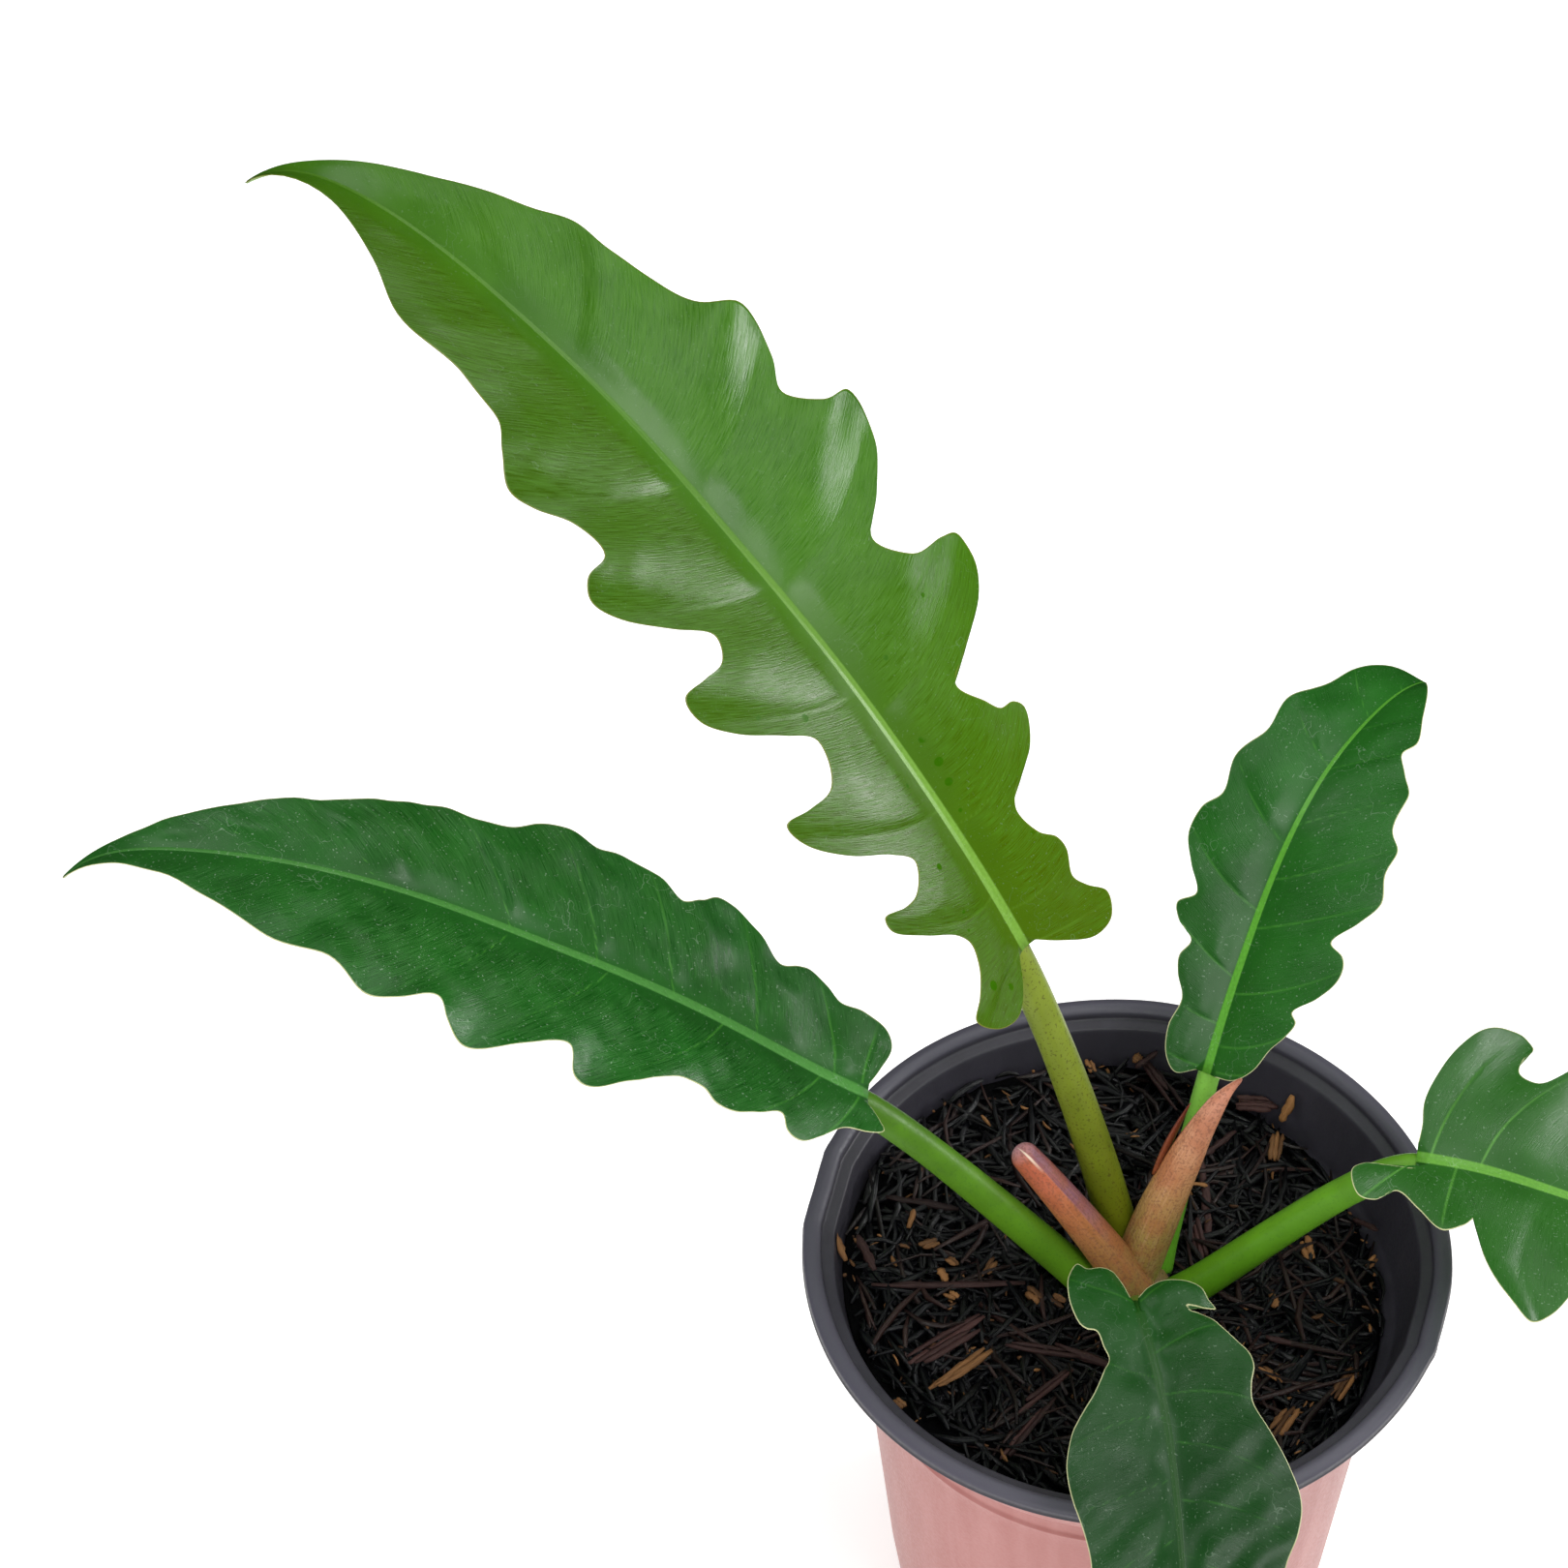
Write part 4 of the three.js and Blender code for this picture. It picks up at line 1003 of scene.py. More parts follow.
def splinters(pieces, seed):
    """Chosen bits, each split along its grain into slivers about a millimetre wide."""
    random = np.random.default_rng(seed)
    bits = []
    for start, end, width, tint, thick in pieces:
        middle, ahead, length = lying(start, end)
        side = unit(np.cross(ahead, UP))
        count = max(1, round(width / SLIVER_WIDTH))
        split = min(count - 1, 1)
        for i in range(count):
            share = (i + 0.5) / count - 0.5
            sliver_length = length * random.uniform(0.6, 1.0)
            slip = ahead * (length - sliver_length) * random.uniform(-0.5, 0.5)
            over = UP * random.uniform(-0.3, 0.3) * split
            sliver_ahead = unit(ahead + side * random.normal(0, 0.035) * split)
            sliver_width = width / count * random.uniform(0.9, 1.35)
            bits.append({
                "middle": middle + side * share * width * 0.9 + slip + over,
                "ahead": sliver_ahead,
                "length": sliver_length,
                "width": sliver_width,
                "flat": min(1.0, thick * width / sliver_width),
                "roll": random.uniform(-0.4, 0.4),
                "bend": random.normal(0, 0.012),
                "tint": tint + random.uniform(-0.35, 0.35),
                "ragged": 0.2,
            })
    return bits


def make_sticks(name, bits, material, sides=5, rings=4, seed=1):
    """One mesh of thin bent sticks or flat chips with ragged sides and tapered ends, which the pot's
    wall stops."""
    random = np.random.default_rng(seed)
    angles = np.linspace(0, 2 * np.pi, sides, endpoint=False)
    verts, faces, marks = [], [], []
    for bit in bits:
        start = len(verts)
        level = unit(np.cross(bit["ahead"], UP))
        rise = np.cross(level, bit["ahead"])
        lean, straight = math.sin(bit["roll"]), math.cos(bit["roll"])
        side = level * straight + rise * lean
        up = rise * straight - level * lean
        for i in range(rings):
            t = i / (rings - 1) * 2 - 1
            centre = bit["middle"] + bit["ahead"] * t * bit["length"] / 2
            centre = centre + level * bit["bend"] * bit["length"] * (1 - t * t)
            radius = bit["width"] / 2 * (1 - 0.5 * t**4) * (1 + bit["ragged"] * random.normal(size=sides))
            ring = centre + np.outer(radius * np.cos(angles), side)
            ring = ring + np.outer(radius * bit["flat"] * np.sin(angles), up)
            stop = wall_inside(ring[:, 2]) / np.hypot(ring[:, 0], ring[:, 1])
            ring[:, :2] *= np.minimum(1, stop)[:, None]
            verts.extend(ring.tolist())
            marks += [[bit["tint"], t * bit["length"] / 2, angle * bit["width"] / 2] for angle in angles]
        faces += grid_faces(rings, sides, start=start, flip=True, closed=True)
        faces.append(list(range(start, start + sides)))
        end = start + (rings - 1) * sides
        faces.append(list(range(end + sides - 1, end - 1, -1)))
    return make_piece(name, verts, faces, [material], ["potting_mix"], values={"bit": marks})


# Materials

# The kinds of node that the finishes use most
MAP = "ShaderNodeMapRange"
MATH = "ShaderNodeMath"
VECTOR_MATH = "ShaderNodeVectorMath"
MIX = "ShaderNodeMix"
NOISE = "ShaderNodeTexNoise"
BUMP = "ShaderNodeBump"
ATTRIBUTE = "ShaderNodeAttribute"
COORDINATES = "ShaderNodeTexCoord"
SEPARATE = "ShaderNodeSeparateXYZ"

PLANT_IOR = 1.45
POLYSTYRENE_IOR = 1.5
HUSK_IOR = 1.5
DUST_COLOUR = "#a9bfa8"


def linear(code):
    """Linear RGBA of an sRGB hex colour."""
    parts = [int(code[i:i + 2], 16) / 255 for i in (1, 3, 5)]
    return [p / 12.92 if p <= 0.04045 else ((p + 0.055) / 1.055) ** 2.4 for p in parts] + [1.0]


def per_metre(size):
    """Scale of a noise whose clouds or grains are about size millimetres, in coordinates in metres."""
    return 1 / (size * MM)


def add_node(tree, kind, inputs=(), **settings):
    """Adds a node and sets its options. Its inputs come by name or number, or in the order of its
    sockets, and are values, hex colours, sockets to link, or nodes whose result is linked."""
    made = tree.nodes.new(kind)
    for option, value in settings.items():
        setattr(made, option, value)
    for key, value in inputs.items() if isinstance(inputs, dict) else enumerate(inputs):
        if isinstance(value, bpy.types.Node):
            value = value.outputs[2 if getattr(value, "data_type", "") == "RGBA" else 0]
        if isinstance(value, bpy.types.NodeSocket):
            tree.links.new(value, made.inputs[key])
        else:
            made.inputs[key].default_value = linear(value) if isinstance(value, str) else value
    return made


def new_material(name):
    """An empty node material and its node tree."""
    material = bpy.data.materials.new(name)
    material.use_nodes = True
    material.node_tree.nodes.clear()
    return material, material.node_tree


def finish_material(tree, colour, roughness, normal, **others):
    """Joins colour, roughness and normal to the surface shader, and gives its other sockets."""
    inputs = {"Base Color": colour, "Roughness": roughness, "Normal": normal}
    inputs.update({key.replace("_", " "): value for key, value in others.items()})
    shader = add_node(tree, "ShaderNodeBsdfPrincipled", inputs)
    add_node(tree, "ShaderNodeOutputMaterial", {"Surface": shader})


def blade_places(tree):
    """What make_blade stored: the place on the blade in mm, its three parts, and the distances from
    the edge, from the midrib as a share of its width, and from the nearest side vein."""
    place = add_node(tree, ATTRIBUTE, attribute_name="place").outputs["Vector"]
    marks = add_node(tree, ATTRIBUTE, attribute_name="marks").outputs["Vector"]
    along, across, number = add_node(tree, SEPARATE, [place]).outputs
    edge, rib, vein = add_node(tree, SEPARATE, [marks]).outputs
    return {
        "place": place, "along": along, "across": across, "number": number,
        "edge": edge, "rib": rib, "vein": vein,
    }


def vein_streaks(tree, at, far):
    """Streaks that run from midrib to edge between the side veins, about 90 to a vein."""
    lines = add_node(tree, "ShaderNodeCombineXYZ", [at["number"], at["across"], 0.0])
    lines = add_node(tree, VECTOR_MATH, [lines, (90.0, 0.2, 1.0)], operation="MULTIPLY")
    streaks = add_node(tree, NOISE, {"Vector": lines, "Scale": 1.0, "Detail": 4.0})
    off_rib = add_node(tree, MAP, [far, 2.0, 8.0])
    return add_node(tree, MIX, {0: off_rib, 2: 0.5, 3: streaks}, data_type="FLOAT")


def pale_lines(tree, at, far, cells, look):
    """Where the thin side veins show, which fade out towards the edge, the sharp-edged midrib, which
    fades out towards the tip, and the thin margin."""
    veins = add_node(tree, MAP, [at["vein"], 0.45, 0.12, 0.0, look["vein_share"]])
    vein_fade = add_node(tree, MAP, [far, 8.0, 30.0, 1.0, 0.15])
    veins = add_node(tree, MATH, [veins, vein_fade], operation="MULTIPLY")
    rib = add_node(tree, MAP, [at["rib"], 1.05, 0.75, 0.0, look["rib_share"]])
    rib_cells = add_node(tree, MAP, [cells, 0.3, 0.7, 0.75, 1.0])
    rib_fade = add_node(tree, MAP, [at["along"], 40.0, look["rib_reach"], 1.0, 0.2])
    for mask in (rib_cells, rib_fade):
        rib = add_node(tree, MATH, [rib, mask], operation="MULTIPLY")
    margin = add_node(tree, MAP, [at["edge"], 0.3, 0.06, 0.0, look["margin_share"]])
    return veins, rib, margin


def dried_water(tree, at, look):
    """Tide lines of dried water, as thin broken outlines about 10 mm across, and specks of dust about
    0.3 mm across."""
    pool = add_node(
        tree, NOISE, {"Vector": at["place"], "Scale": 1 / 9, "Detail": 2.5, "Roughness": 0.5})
    gap = add_node(tree, MATH, [pool, 0.56], operation="SUBTRACT")
    gap = add_node(tree, MATH, [gap], operation="ABSOLUTE")
    line = add_node(tree, MAP, [gap, 0.0035, 0.0])
    breaks = add_node(
        tree, NOISE, {"Vector": at["place"], "Scale": 1 / 16, "Detail": 1.0, "W": 3.0},
        noise_dimensions="4D")
    breaks = add_node(tree, MAP, [breaks, 0.5, 0.6, 0.0, look["tide"]])
    line = add_node(tree, MATH, [line, breaks], operation="MULTIPLY")
    specks = add_node(tree, NOISE, {"Vector": at["place"], "Scale": 1 / 0.5, "Detail": 0.0})
    dust = add_node(tree, MAP, [specks, 0.74, 0.82, 0.0, look["tide"]])
    return add_node(tree, MATH, [line, dust], operation="MAXIMUM")


def dried_drops(tree, at, cloud, look):
    """Dried drops: round dull spots up to 3 mm across, in patches, most of them near the stalk."""
    drops = add_node(tree, "ShaderNodeTexVoronoi", {"Vector": at["place"], "Scale": 1 / 5.5})
    size = add_node(tree, MAP, [drops.outputs["Color"], 0.4, 1.0, 0.0, 0.34])
    gap = add_node(tree, MATH, [size, drops.outputs["Distance"]], operation="SUBTRACT")
    spots = add_node(tree, MAP, [gap, 0.0, 0.04])
    patch = add_node(tree, MAP, [cloud, 0.42, 0.46, 0.0, look["drops"]])
    lower = add_node(tree, MAP, [at["along"], 110.0, 70.0, 0.15, 1.0])
    for mask in (patch, lower):
        spots = add_node(tree, MATH, [spots, mask], operation="MULTIPLY")
    return spots


def leaf_top(name, look):
    """Upper side of an aroid leaf: a waxed cuticle over green tissue, which gives a satin gloss with
    fine streaks along the side veins, a pale midrib, thin bright veins and a thin pale margin, and
    a painted shade over its left half."""
    material, tree = new_material(name)
    at = blade_places(tree)
    far = add_node(tree, MATH, [at["across"]], operation="ABSOLUTE")
    # Cloudy tissue about 14 mm across and cells of about half a millimetre, drawn as 0.8 mm
    cloud = add_node(tree, NOISE, {"Vector": at["place"], "Scale": 1 / 14, "Detail": 3.0})
    cells = add_node(tree, NOISE, {"Vector": at["place"], "Scale": 1 / 0.8, "Detail": 2.0})
    streaks = vein_streaks(tree, at, far)
    veins, rib, margin = pale_lines(tree, at, far, cells, look)
    water = dried_water(tree, at, look)
    drops = dried_drops(tree, at, cloud, look)
    deep = add_node(tree, MAP, [cloud, 0.3, 0.7])
    # The base of the blade is tinted where its tissue is young. Over the left half lies a painted
    # shade, a darker olive that stands in for the weaker light on that half
    base = add_node(tree, MAP, [at["along"], look["base_reach"], 0.0, 0.0, look["base_share"]])
    painted_left_shade = add_node(tree, MAP, [at["across"], 2.0, -8.0, 0.0, look["painted_left_shade_share"]])
    light = add_node(tree, MAP, [streaks, 0.35, 0.7, 0.0, look["streak"]])
    colour = look["green"]
    for mask, over in (
        (deep, look["deep"]), (base, look["base"]), (painted_left_shade, look["painted_left_shade"]), (light, look["light"]),
        (veins, look["vein"]), (rib, look["rib"]), (margin, look["margin"]), (water, DUST_COLOUR),
        (drops, look["deep"]),
    ):
        colour = add_node(tree, MIX, {0: mask, 6: colour, 7: over}, data_type="RGBA")

    # Streaks, drops and cells also change the gloss and the relief
    rough = add_node(tree, MAP, [streaks, 0.3, 0.7, look["rough"] - 0.08, look["rough"] + 0.1])
    rough = add_node(tree, MATH, [drops, 0.2, rough], operation="MULTIPLY_ADD")
    heights = add_node(tree, MATH, [cells, 0.12, streaks], operation="MULTIPLY_ADD")
    bump = add_node(tree, BUMP, {"Strength": look["bump"], "Distance": 0.0002, "Height": heights})
    # The wax is thinner near the stalk and on the right half, and under the drops
    bloom = add_node(tree, MATH, [at["across"], -1.2, at["along"]], operation="MULTIPLY_ADD")
    wax = add_node(tree, MAP, [bloom, look["dull_reach"] * 0.35, look["dull_reach"], look["dull"], 0.5])
    wax = add_node(tree, MATH, [drops, -0.3, wax], operation="MULTIPLY_ADD", use_clamp=True)
    finish_material(tree, colour, rough, bump, IOR=PLANT_IOR, Specular_IOR_Level=wax)
    return material


def leaf_under(name, green, vein):
    """Underside of an aroid leaf: paler and duller than the top, with raised light veins."""
    material, tree = new_material(name)
    at = blade_places(tree)
    # Cloudy tissue about 10 mm across and cells drawn as 0.8 mm, as on the top
    cloud = add_node(tree, NOISE, {"Vector": at["place"], "Scale": 1 / 10, "Detail": 4.0})
    cells = add_node(tree, NOISE, {"Vector": at["place"], "Scale": 1 / 0.8, "Detail": 2.0})
    veins = add_node(tree, MAP, [at["vein"], 0.8, 0.3, 0.0, 0.7])
    rib = add_node(tree, MAP, [at["rib"], 1.05, 0.7, 0.0, 0.9])
    colour = green
    for mask in (cloud, veins, rib):
        colour = add_node(tree, MIX, {0: mask, 6: colour, 7: vein}, data_type="RGBA")
    rough = add_node(tree, MAP, [cells, 0.3, 0.7, 0.5, 0.62])
    bump = add_node(tree, BUMP, {"Strength": 0.25, "Distance": 0.0003, "Height": cells})
    finish_material(tree, colour, rough, bump, IOR=PLANT_IOR)
    return material


def stalk_skin(name, low, high, speck, speck_share):
    """Smooth skin of an aroid leaf stalk: waxy, semi-gloss, with fine dashes along its length."""
    material, tree = new_material(name)
    where = add_node(tree, COORDINATES).outputs["Object"]
    run = add_node(tree, ATTRIBUTE, attribute_name="run").outputs["Fac"]
    # Clouds about 8 mm across and dashes about 0.5 mm wide, drawn as 0.67 mm
    cloud = add_node(tree, NOISE, {"Vector": where, "Scale": per_metre(8.333), "Detail": 3.0})
    dash = add_node(tree, NOISE, {"Vector": where, "Scale": per_metre(0.6667), "Detail": 1.0})
    shade = add_node(tree, MAP, [cloud, 0.3, 0.7, 0.88, 1.12])
    dash_part = add_node(tree, MAP, [dash, 0.6, 0.68, 0.0, speck_share])
    colour = add_node(tree, MIX, {0: run, 6: low, 7: high}, data_type="RGBA")
    colour = add_node(tree, VECTOR_MATH, {0: colour, 3: shade}, operation="SCALE")
    colour = add_node(tree, MIX, {0: dash_part, 6: colour, 7: speck}, data_type="RGBA")
    rough = add_node(tree, MAP, [dash, 0.3, 0.7, 0.36, 0.5])
    bump = add_node(tree, BUMP, {"Strength": 0.2, "Distance": 0.0002, "Height": dash})
    finish_material(tree, colour, rough, bump, IOR=PLANT_IOR)
    return material


def sheath_skin(name, look):
    """Papery skin of a leaf sheath: satin, finely ribbed lengthwise, brown-pink, paler and dry at its
    tip, with another shade on the edge that laps over and a cream rim where it opens."""
    material, tree = new_material(name)
    where = add_node(tree, COORDINATES).outputs["Object"]
    skin = add_node(tree, ATTRIBUTE, attribute_name="skin").outputs["Vector"]
    run, turn, _ = add_node(tree, SEPARATE, [skin]).outputs
    # Ribs about 0.4 mm apart run from foot to tip; dry cells are 0.6 mm and clouds 6 mm across
    ribs = add_node(tree, VECTOR_MATH, [skin, (5.0, 11.0, 1.0)], operation="MULTIPLY")
    ribs = add_node(tree, NOISE, {"Vector": ribs, "Scale": 1.0, "Detail": 3.0})
    cells = add_node(tree, NOISE, {"Vector": where, "Scale": per_metre(0.625), "Detail": 1.0})
    clouds = add_node(tree, NOISE, {"Vector": where, "Scale": per_metre(6.25), "Detail": 3.0})
    lapped = add_node(tree, MAP, [turn, 0.02, -0.02, 0.0, look["lap_share"]])
    lap_run = add_node(tree, MAP, [run, 0.35, 0.6])
    rim_gap = add_node(tree, MATH, [turn, 0.1], operation="SUBTRACT")
    rim_gap = add_node(tree, MATH, [rim_gap], operation="ABSOLUTE")
    rim_line = add_node(tree, MAP, [rim_gap, 0.12, 0.04])
    rim_run = add_node(tree, MAP, [run, 0.86, 0.95, 0.0, look["rim_share"]])
    masks = {
        "middle": add_node(tree, MAP, [run, 0.12, 0.6]),
        "tip": add_node(tree, MAP, [run, 0.6, 0.9]),
        "lap": add_node(tree, MATH, [lapped, lap_run], operation="MULTIPLY"),
        "end": add_node(tree, MAP, [run, 0.95, 0.99]),
        "streak": add_node(tree, MAP, [ribs, 0.45, 0.7, 0.0, 0.35]),
        "cloud": add_node(tree, MAP, [clouds, 0.42, 0.6, 0.0, 0.5]),
        "cell": add_node(tree, MAP, [cells, 0.5, 0.65, 0.0, 0.5]),
        "rim": add_node(tree, MATH, [rim_line, rim_run], operation="MULTIPLY"),
    }
    colour = look["foot"]
    for part, mask in masks.items():
        colour = add_node(tree, MIX, {0: mask, 6: colour, 7: look[part]}, data_type="RGBA")
    rough = add_node(tree, MAP, [cells, 0.3, 0.7, 0.42, 0.58])
    bump = add_node(tree, BUMP, {"Strength": 0.3, "Distance": 0.0002, "Height": ribs})
    finish_material(tree, colour, rough, bump, IOR=PLANT_IOR)
    return material


def pot_plastic(name, main, pale, dark, rough_low, lip=None):
    """Thermoformed polystyrene sheet: satin, with faint upright drawing streaks and fine scuffs, and
    a paler band round the top of its lip."""
    material, tree = new_material(name)
    where = add_node(tree, COORDINATES).outputs["Object"]
    # Streaks 6 mm wide and 50 mm long, clouds 36 mm across, and scuffs of 0.3 mm, drawn as 0.8 mm
    streaks = add_node(tree, VECTOR_MATH, [where, (1.0, 1.0, 0.12)], operation="MULTIPLY")
    streaks = add_node(tree, NOISE, {"Vector": streaks, "Scale": per_metre(6.25), "Detail": 4.0})
    clouds = add_node(tree, NOISE, {"Vector": where, "Scale": per_metre(35.71), "Detail": 3.0})
    grain = add_node(tree, NOISE, {"Vector": where, "Scale": per_metre(0.8333), "Detail": 2.0})
    layers = [
        (add_node(tree, MAP, [streaks, 0.4, 0.75, 0.0, 0.5]), pale),
        (add_node(tree, MAP, [clouds, 0.35, 0.7, 0.0, 0.5]), dark),
    ]
    if lip:
        # A paler band round the top of the lip, from 2.2 mm to 0.8 mm under the rim
        height = add_node(tree, SEPARATE, [where]).outputs[2]
        lip_top_band = [height, (POT_HEIGHT - 2.2) * MM, (POT_HEIGHT - 0.8) * MM]
        layers.append((add_node(tree, MAP, lip_top_band), lip))
    colour = main
    for mask, over in layers:
        colour = add_node(tree, MIX, {0: mask, 6: colour, 7: over}, data_type="RGBA")
    rough = add_node(tree, MAP, [grain, 0.3, 0.7, rough_low, rough_low + 0.12])
    bump = add_node(tree, BUMP, {"Strength": 0.12, "Distance": 0.0003, "Height": grain})
    finish_material(tree, colour, rough, bump, IOR=POLYSTYRENE_IOR)
    return material


def husk(name, dark, light, rough_low, specular=0.5):
    """Charred or raw plant husk: each bit in its own shade, fibrous along its length and mostly dull."""
    material, tree = new_material(name)
    where = add_node(tree, COORDINATES).outputs["Object"]
    bit = add_node(tree, ATTRIBUTE, attribute_name="bit").outputs["Vector"]
    tint = add_node(tree, SEPARATE, [bit]).outputs[0]
    # Fibres about 0.3 mm wide and 4 mm long, drawn along each bit, and grit of 0.8 mm
    fibre = add_node(tree, VECTOR_MATH, [bit, (90.0, 0.25, 3.2)], operation="MULTIPLY")
    fibre = add_node(tree, NOISE, {"Vector": fibre, "Scale": 1.0, "Detail": 3.0})
    grit = add_node(tree, NOISE, {"Vector": where, "Scale": per_metre(0.7692), "Detail": 2.0})
    share = add_node(tree, MATH, [fibre, 1.1, tint], operation="MULTIPLY_ADD")
    share = add_node(tree, MAP, [share, 0.45, 1.7])
    colour = add_node(tree, MIX, {0: share, 6: dark, 7: light}, data_type="RGBA")
    rough = add_node(tree, MAP, [grit, 0.3, 0.7, rough_low, rough_low + 0.2])
    heights = add_node(tree, MATH, [fibre, 2.0, grit], operation="MULTIPLY_ADD")
    bump = add_node(tree, BUMP, {"Strength": 0.5, "Distance": 0.0003, "Height": heights})
    finish_material(tree, colour, rough, bump, IOR=HUSK_IOR, Specular_IOR_Level=specular)
    return material


def studio_paper():
    """Matt white studio paper: near white, very slightly uneven, with a glow that keeps it white."""
    material, tree = new_material("studio_paper")
    where = add_node(tree, COORDINATES).outputs["Object"]
    fleck = add_node(tree, NOISE, {"Vector": where, "Scale": per_metre(166.7), "Detail": 2.0})
    colour = add_node(tree, MIX, {0: fleck, 6: "#f4f4f4", 7: "#f8f8f8"}, data_type="RGBA")
    bump = add_node(tree, BUMP, {"Strength": 0.02, "Distance": 0.0005, "Height": fleck})
    finish_material(
        tree, colour, 0.9, bump, IOR=1.45, Emission_Color="#ffffff", Emission_Strength=0.4)
    return material


# Looks. Colours in the order in which they lie over one another, then how far each one shows
# The young look lays a painted shade of dark olive over the blade's left half; the mature look gives it no
# share
YOUNG_LOOK = {
    "green": "#38690a", "deep": "#2b5a04", "base": "#405302", "painted_left_shade": "#354e04", "light": "#467816",
    "vein": "#5c8628", "rib": "#6f9a3c", "margin": "#8a8a3c",
    "base_reach": 105.0, "base_share": 1.0, "painted_left_shade_share": 0.75, "streak": 0.6, "vein_share": 0.25,
    "rib_share": 0.95, "rib_reach": 145.0, "margin_share": 0.7, "tide": 0.1, "drops": 0.85,
    "rough": 0.3, "bump": 0.5, "dull": 0.06, "dull_reach": 75.0,
}
MATURE_LOOK = {
    "green": "#1b5716", "deep": "#144810", "base": "#1a4e13", "painted_left_shade": "#235818", "light": "#28661f",
    "vein": "#4a9030", "rib": "#447f2a", "margin": "#c9c998",
    "base_reach": 40.0, "base_share": 0.5, "painted_left_shade_share": 0.0, "streak": 0.2, "vein_share": 0.5,
    "rib_share": 0.9, "rib_reach": 260.0, "margin_share": 0.9, "tide": 0.2, "drops": 0.15,
    "rough": 0.33, "bump": 0.4, "dull": 0.4, "dull_reach": 10.0,
}
MATURE_CHANGES = {
    "leaf_left": {
        "green": "#165414", "deep": "#0c3e0c", "light": "#32722c", "rib": "#549444",
        "streak": 0.6, "tide": 0.28,
    },
    "leaf_upright": {
        "green": "#1d5a17", "deep": "#154a11", "light": "#2a6a20", "rib": "#5aa030",
        "vein_share": 0.3,
    },
    "leaf_right": {
        "green": "#285c1b", "deep": "#1f4f14", "light": "#356e25", "rib": "#5c982c",
        "vein": "#68aa44", "vein_share": 0.4,
    },
    "leaf_front": {
        "green": "#0f3d10", "deep": "#0a330c", "light": "#184c1a", "rib": "#1a440f",
        "vein": "#35701f", "rib_share": 0.8, "vein_share": 0.35, "tide": 0.14,
    },
}
SHEATH_LOOKS = {
    "sheath_left": {
        "foot": "#86703a", "middle": "#a5633a", "tip": "#c06048", "lap": "#7a4c5c", "end": "#b08088",
        "streak": "#c0805c", "cloud": "#96502e", "cell": "#6d4436", "rim": "#d9c3ae",
        "lap_share": 1.0, "rim_share": 0.95,
    },
    "sheath_right": {
        "foot": "#8f8440", "middle": "#b07c4a", "tip": "#c98a78", "lap": "#b07a5c", "end": "#7a4a40",
        "streak": "#d8a684", "cloud": "#a05a38", "cell": "#6d4436", "rim": "#d9c3ae",
        "lap_share": 0.5, "rim_share": 0.5,
    },
}

# Stalk skins as name, colours at the foot and at the blade, colour of the dashes and how far they show
STALK_LOOKS = {
    "leaf_tall": ("olive_stalk_skin", "#5c6402", "#7f922c", "#3f3508", 0.6),
    "leaf_left": ("left_stalk_skin", "#568418", "#3d680f", "#355c12", 0.3),
    "leaf_upright": ("upright_stalk_skin", "#589520", "#80be48", "#3f6a18", 0.3),
    "leaf_right": ("right_stalk_skin", "#528612", "#568a20", "#3f6a18", 0.3),
    "leaf_front": ("front_stalk_skin", "#4f8012", "#2b5a18", "#3f6a18", 0.3),
}
FLAP_LOOK = ("dry_flap_skin", "#8a4a2c", "#5c2416", "#3a160c", 0.5)
STEM_LOOK = ("stem_skin", "#6b5a30", "#6b5a30", "#3a2a18", 0.6)

# Pot plastics as name, main, pale and dark colour, lowest roughness, and the colour of a paler band round
# the lip's top
OUTSIDE_PLASTIC = ("terracotta_polystyrene", "#a0615c", "#b8837f", "#96564f", 0.32)
INSIDE_PLASTIC = ("charcoal_polystyrene", "#323038", "#3e3c46", "#28262e", 0.42, "#4b4954")


# Studio

# Softboxes as name, place, what each one faces, width, height and power, in metres and watts. The
# fills are hidden from mirror images
CROWN = (-0.02, 0.0, 0.2)
SOFTBOXES = [
    ("softbox_right", (1.115, 0.229, 0.54), CROWN, 0.5, 0.44, 7.5),
    ("softbox_right_middle", (0.86, 0.53, 0.92), CROWN, 0.65, 0.6, 0.6),
    ("softbox_right_high", (0.59, -0.165, 1.39), CROWN, 0.6, 0.6, 0.9),
    ("softbox_top_right", (0.437, 0.08, 1.627), CROWN, 0.4, 0.4, 1.0),
    ("softbox_front_right", (0.253, -0.612, 1.332), (-0.07, 0.08, 0.28), 0.34, 0.6, 3.8),
    ("softbox_back_right", (0.63, 0.53, 1.47), CROWN, 0.35, 0.35, 1.2),
    ("softbox_back_left", (-0.73, 0.556, 1.4), CROWN, 0.6, 0.6, 2.6),
    ("softbox_back", (0.147, 0.835, 1.557), CROWN, 0.5, 0.5, 1.4),
    ("softbox_front", (-0.25, -1.3, 1.0), CROWN, 0.8, 0.8, 7.0),
]
FILLS = [
    ("fill_right", (0.7, -0.9, 1.3), CROWN, 1.0, 1.0, 3.0),
    ("fill_left", (-1.2, -0.6, 0.35), (0.0, 0.0, 0.08), 0.7, 0.7, 5.5),
    ("fill_top", (0.1, -0.2, 1.9), CROWN, 1.6, 1.6, 10.0),
]
SURROUNDINGS_STRENGTH = 0.3

# The camera looks down at the crown from the front, through a long lens
CAMERA_PLACE = (-0.0788, -0.8703, 1.297)
CAMERA_TILT = 41
CAMERA_LENS = 144.444
SENSOR_WIDTH = 36.0


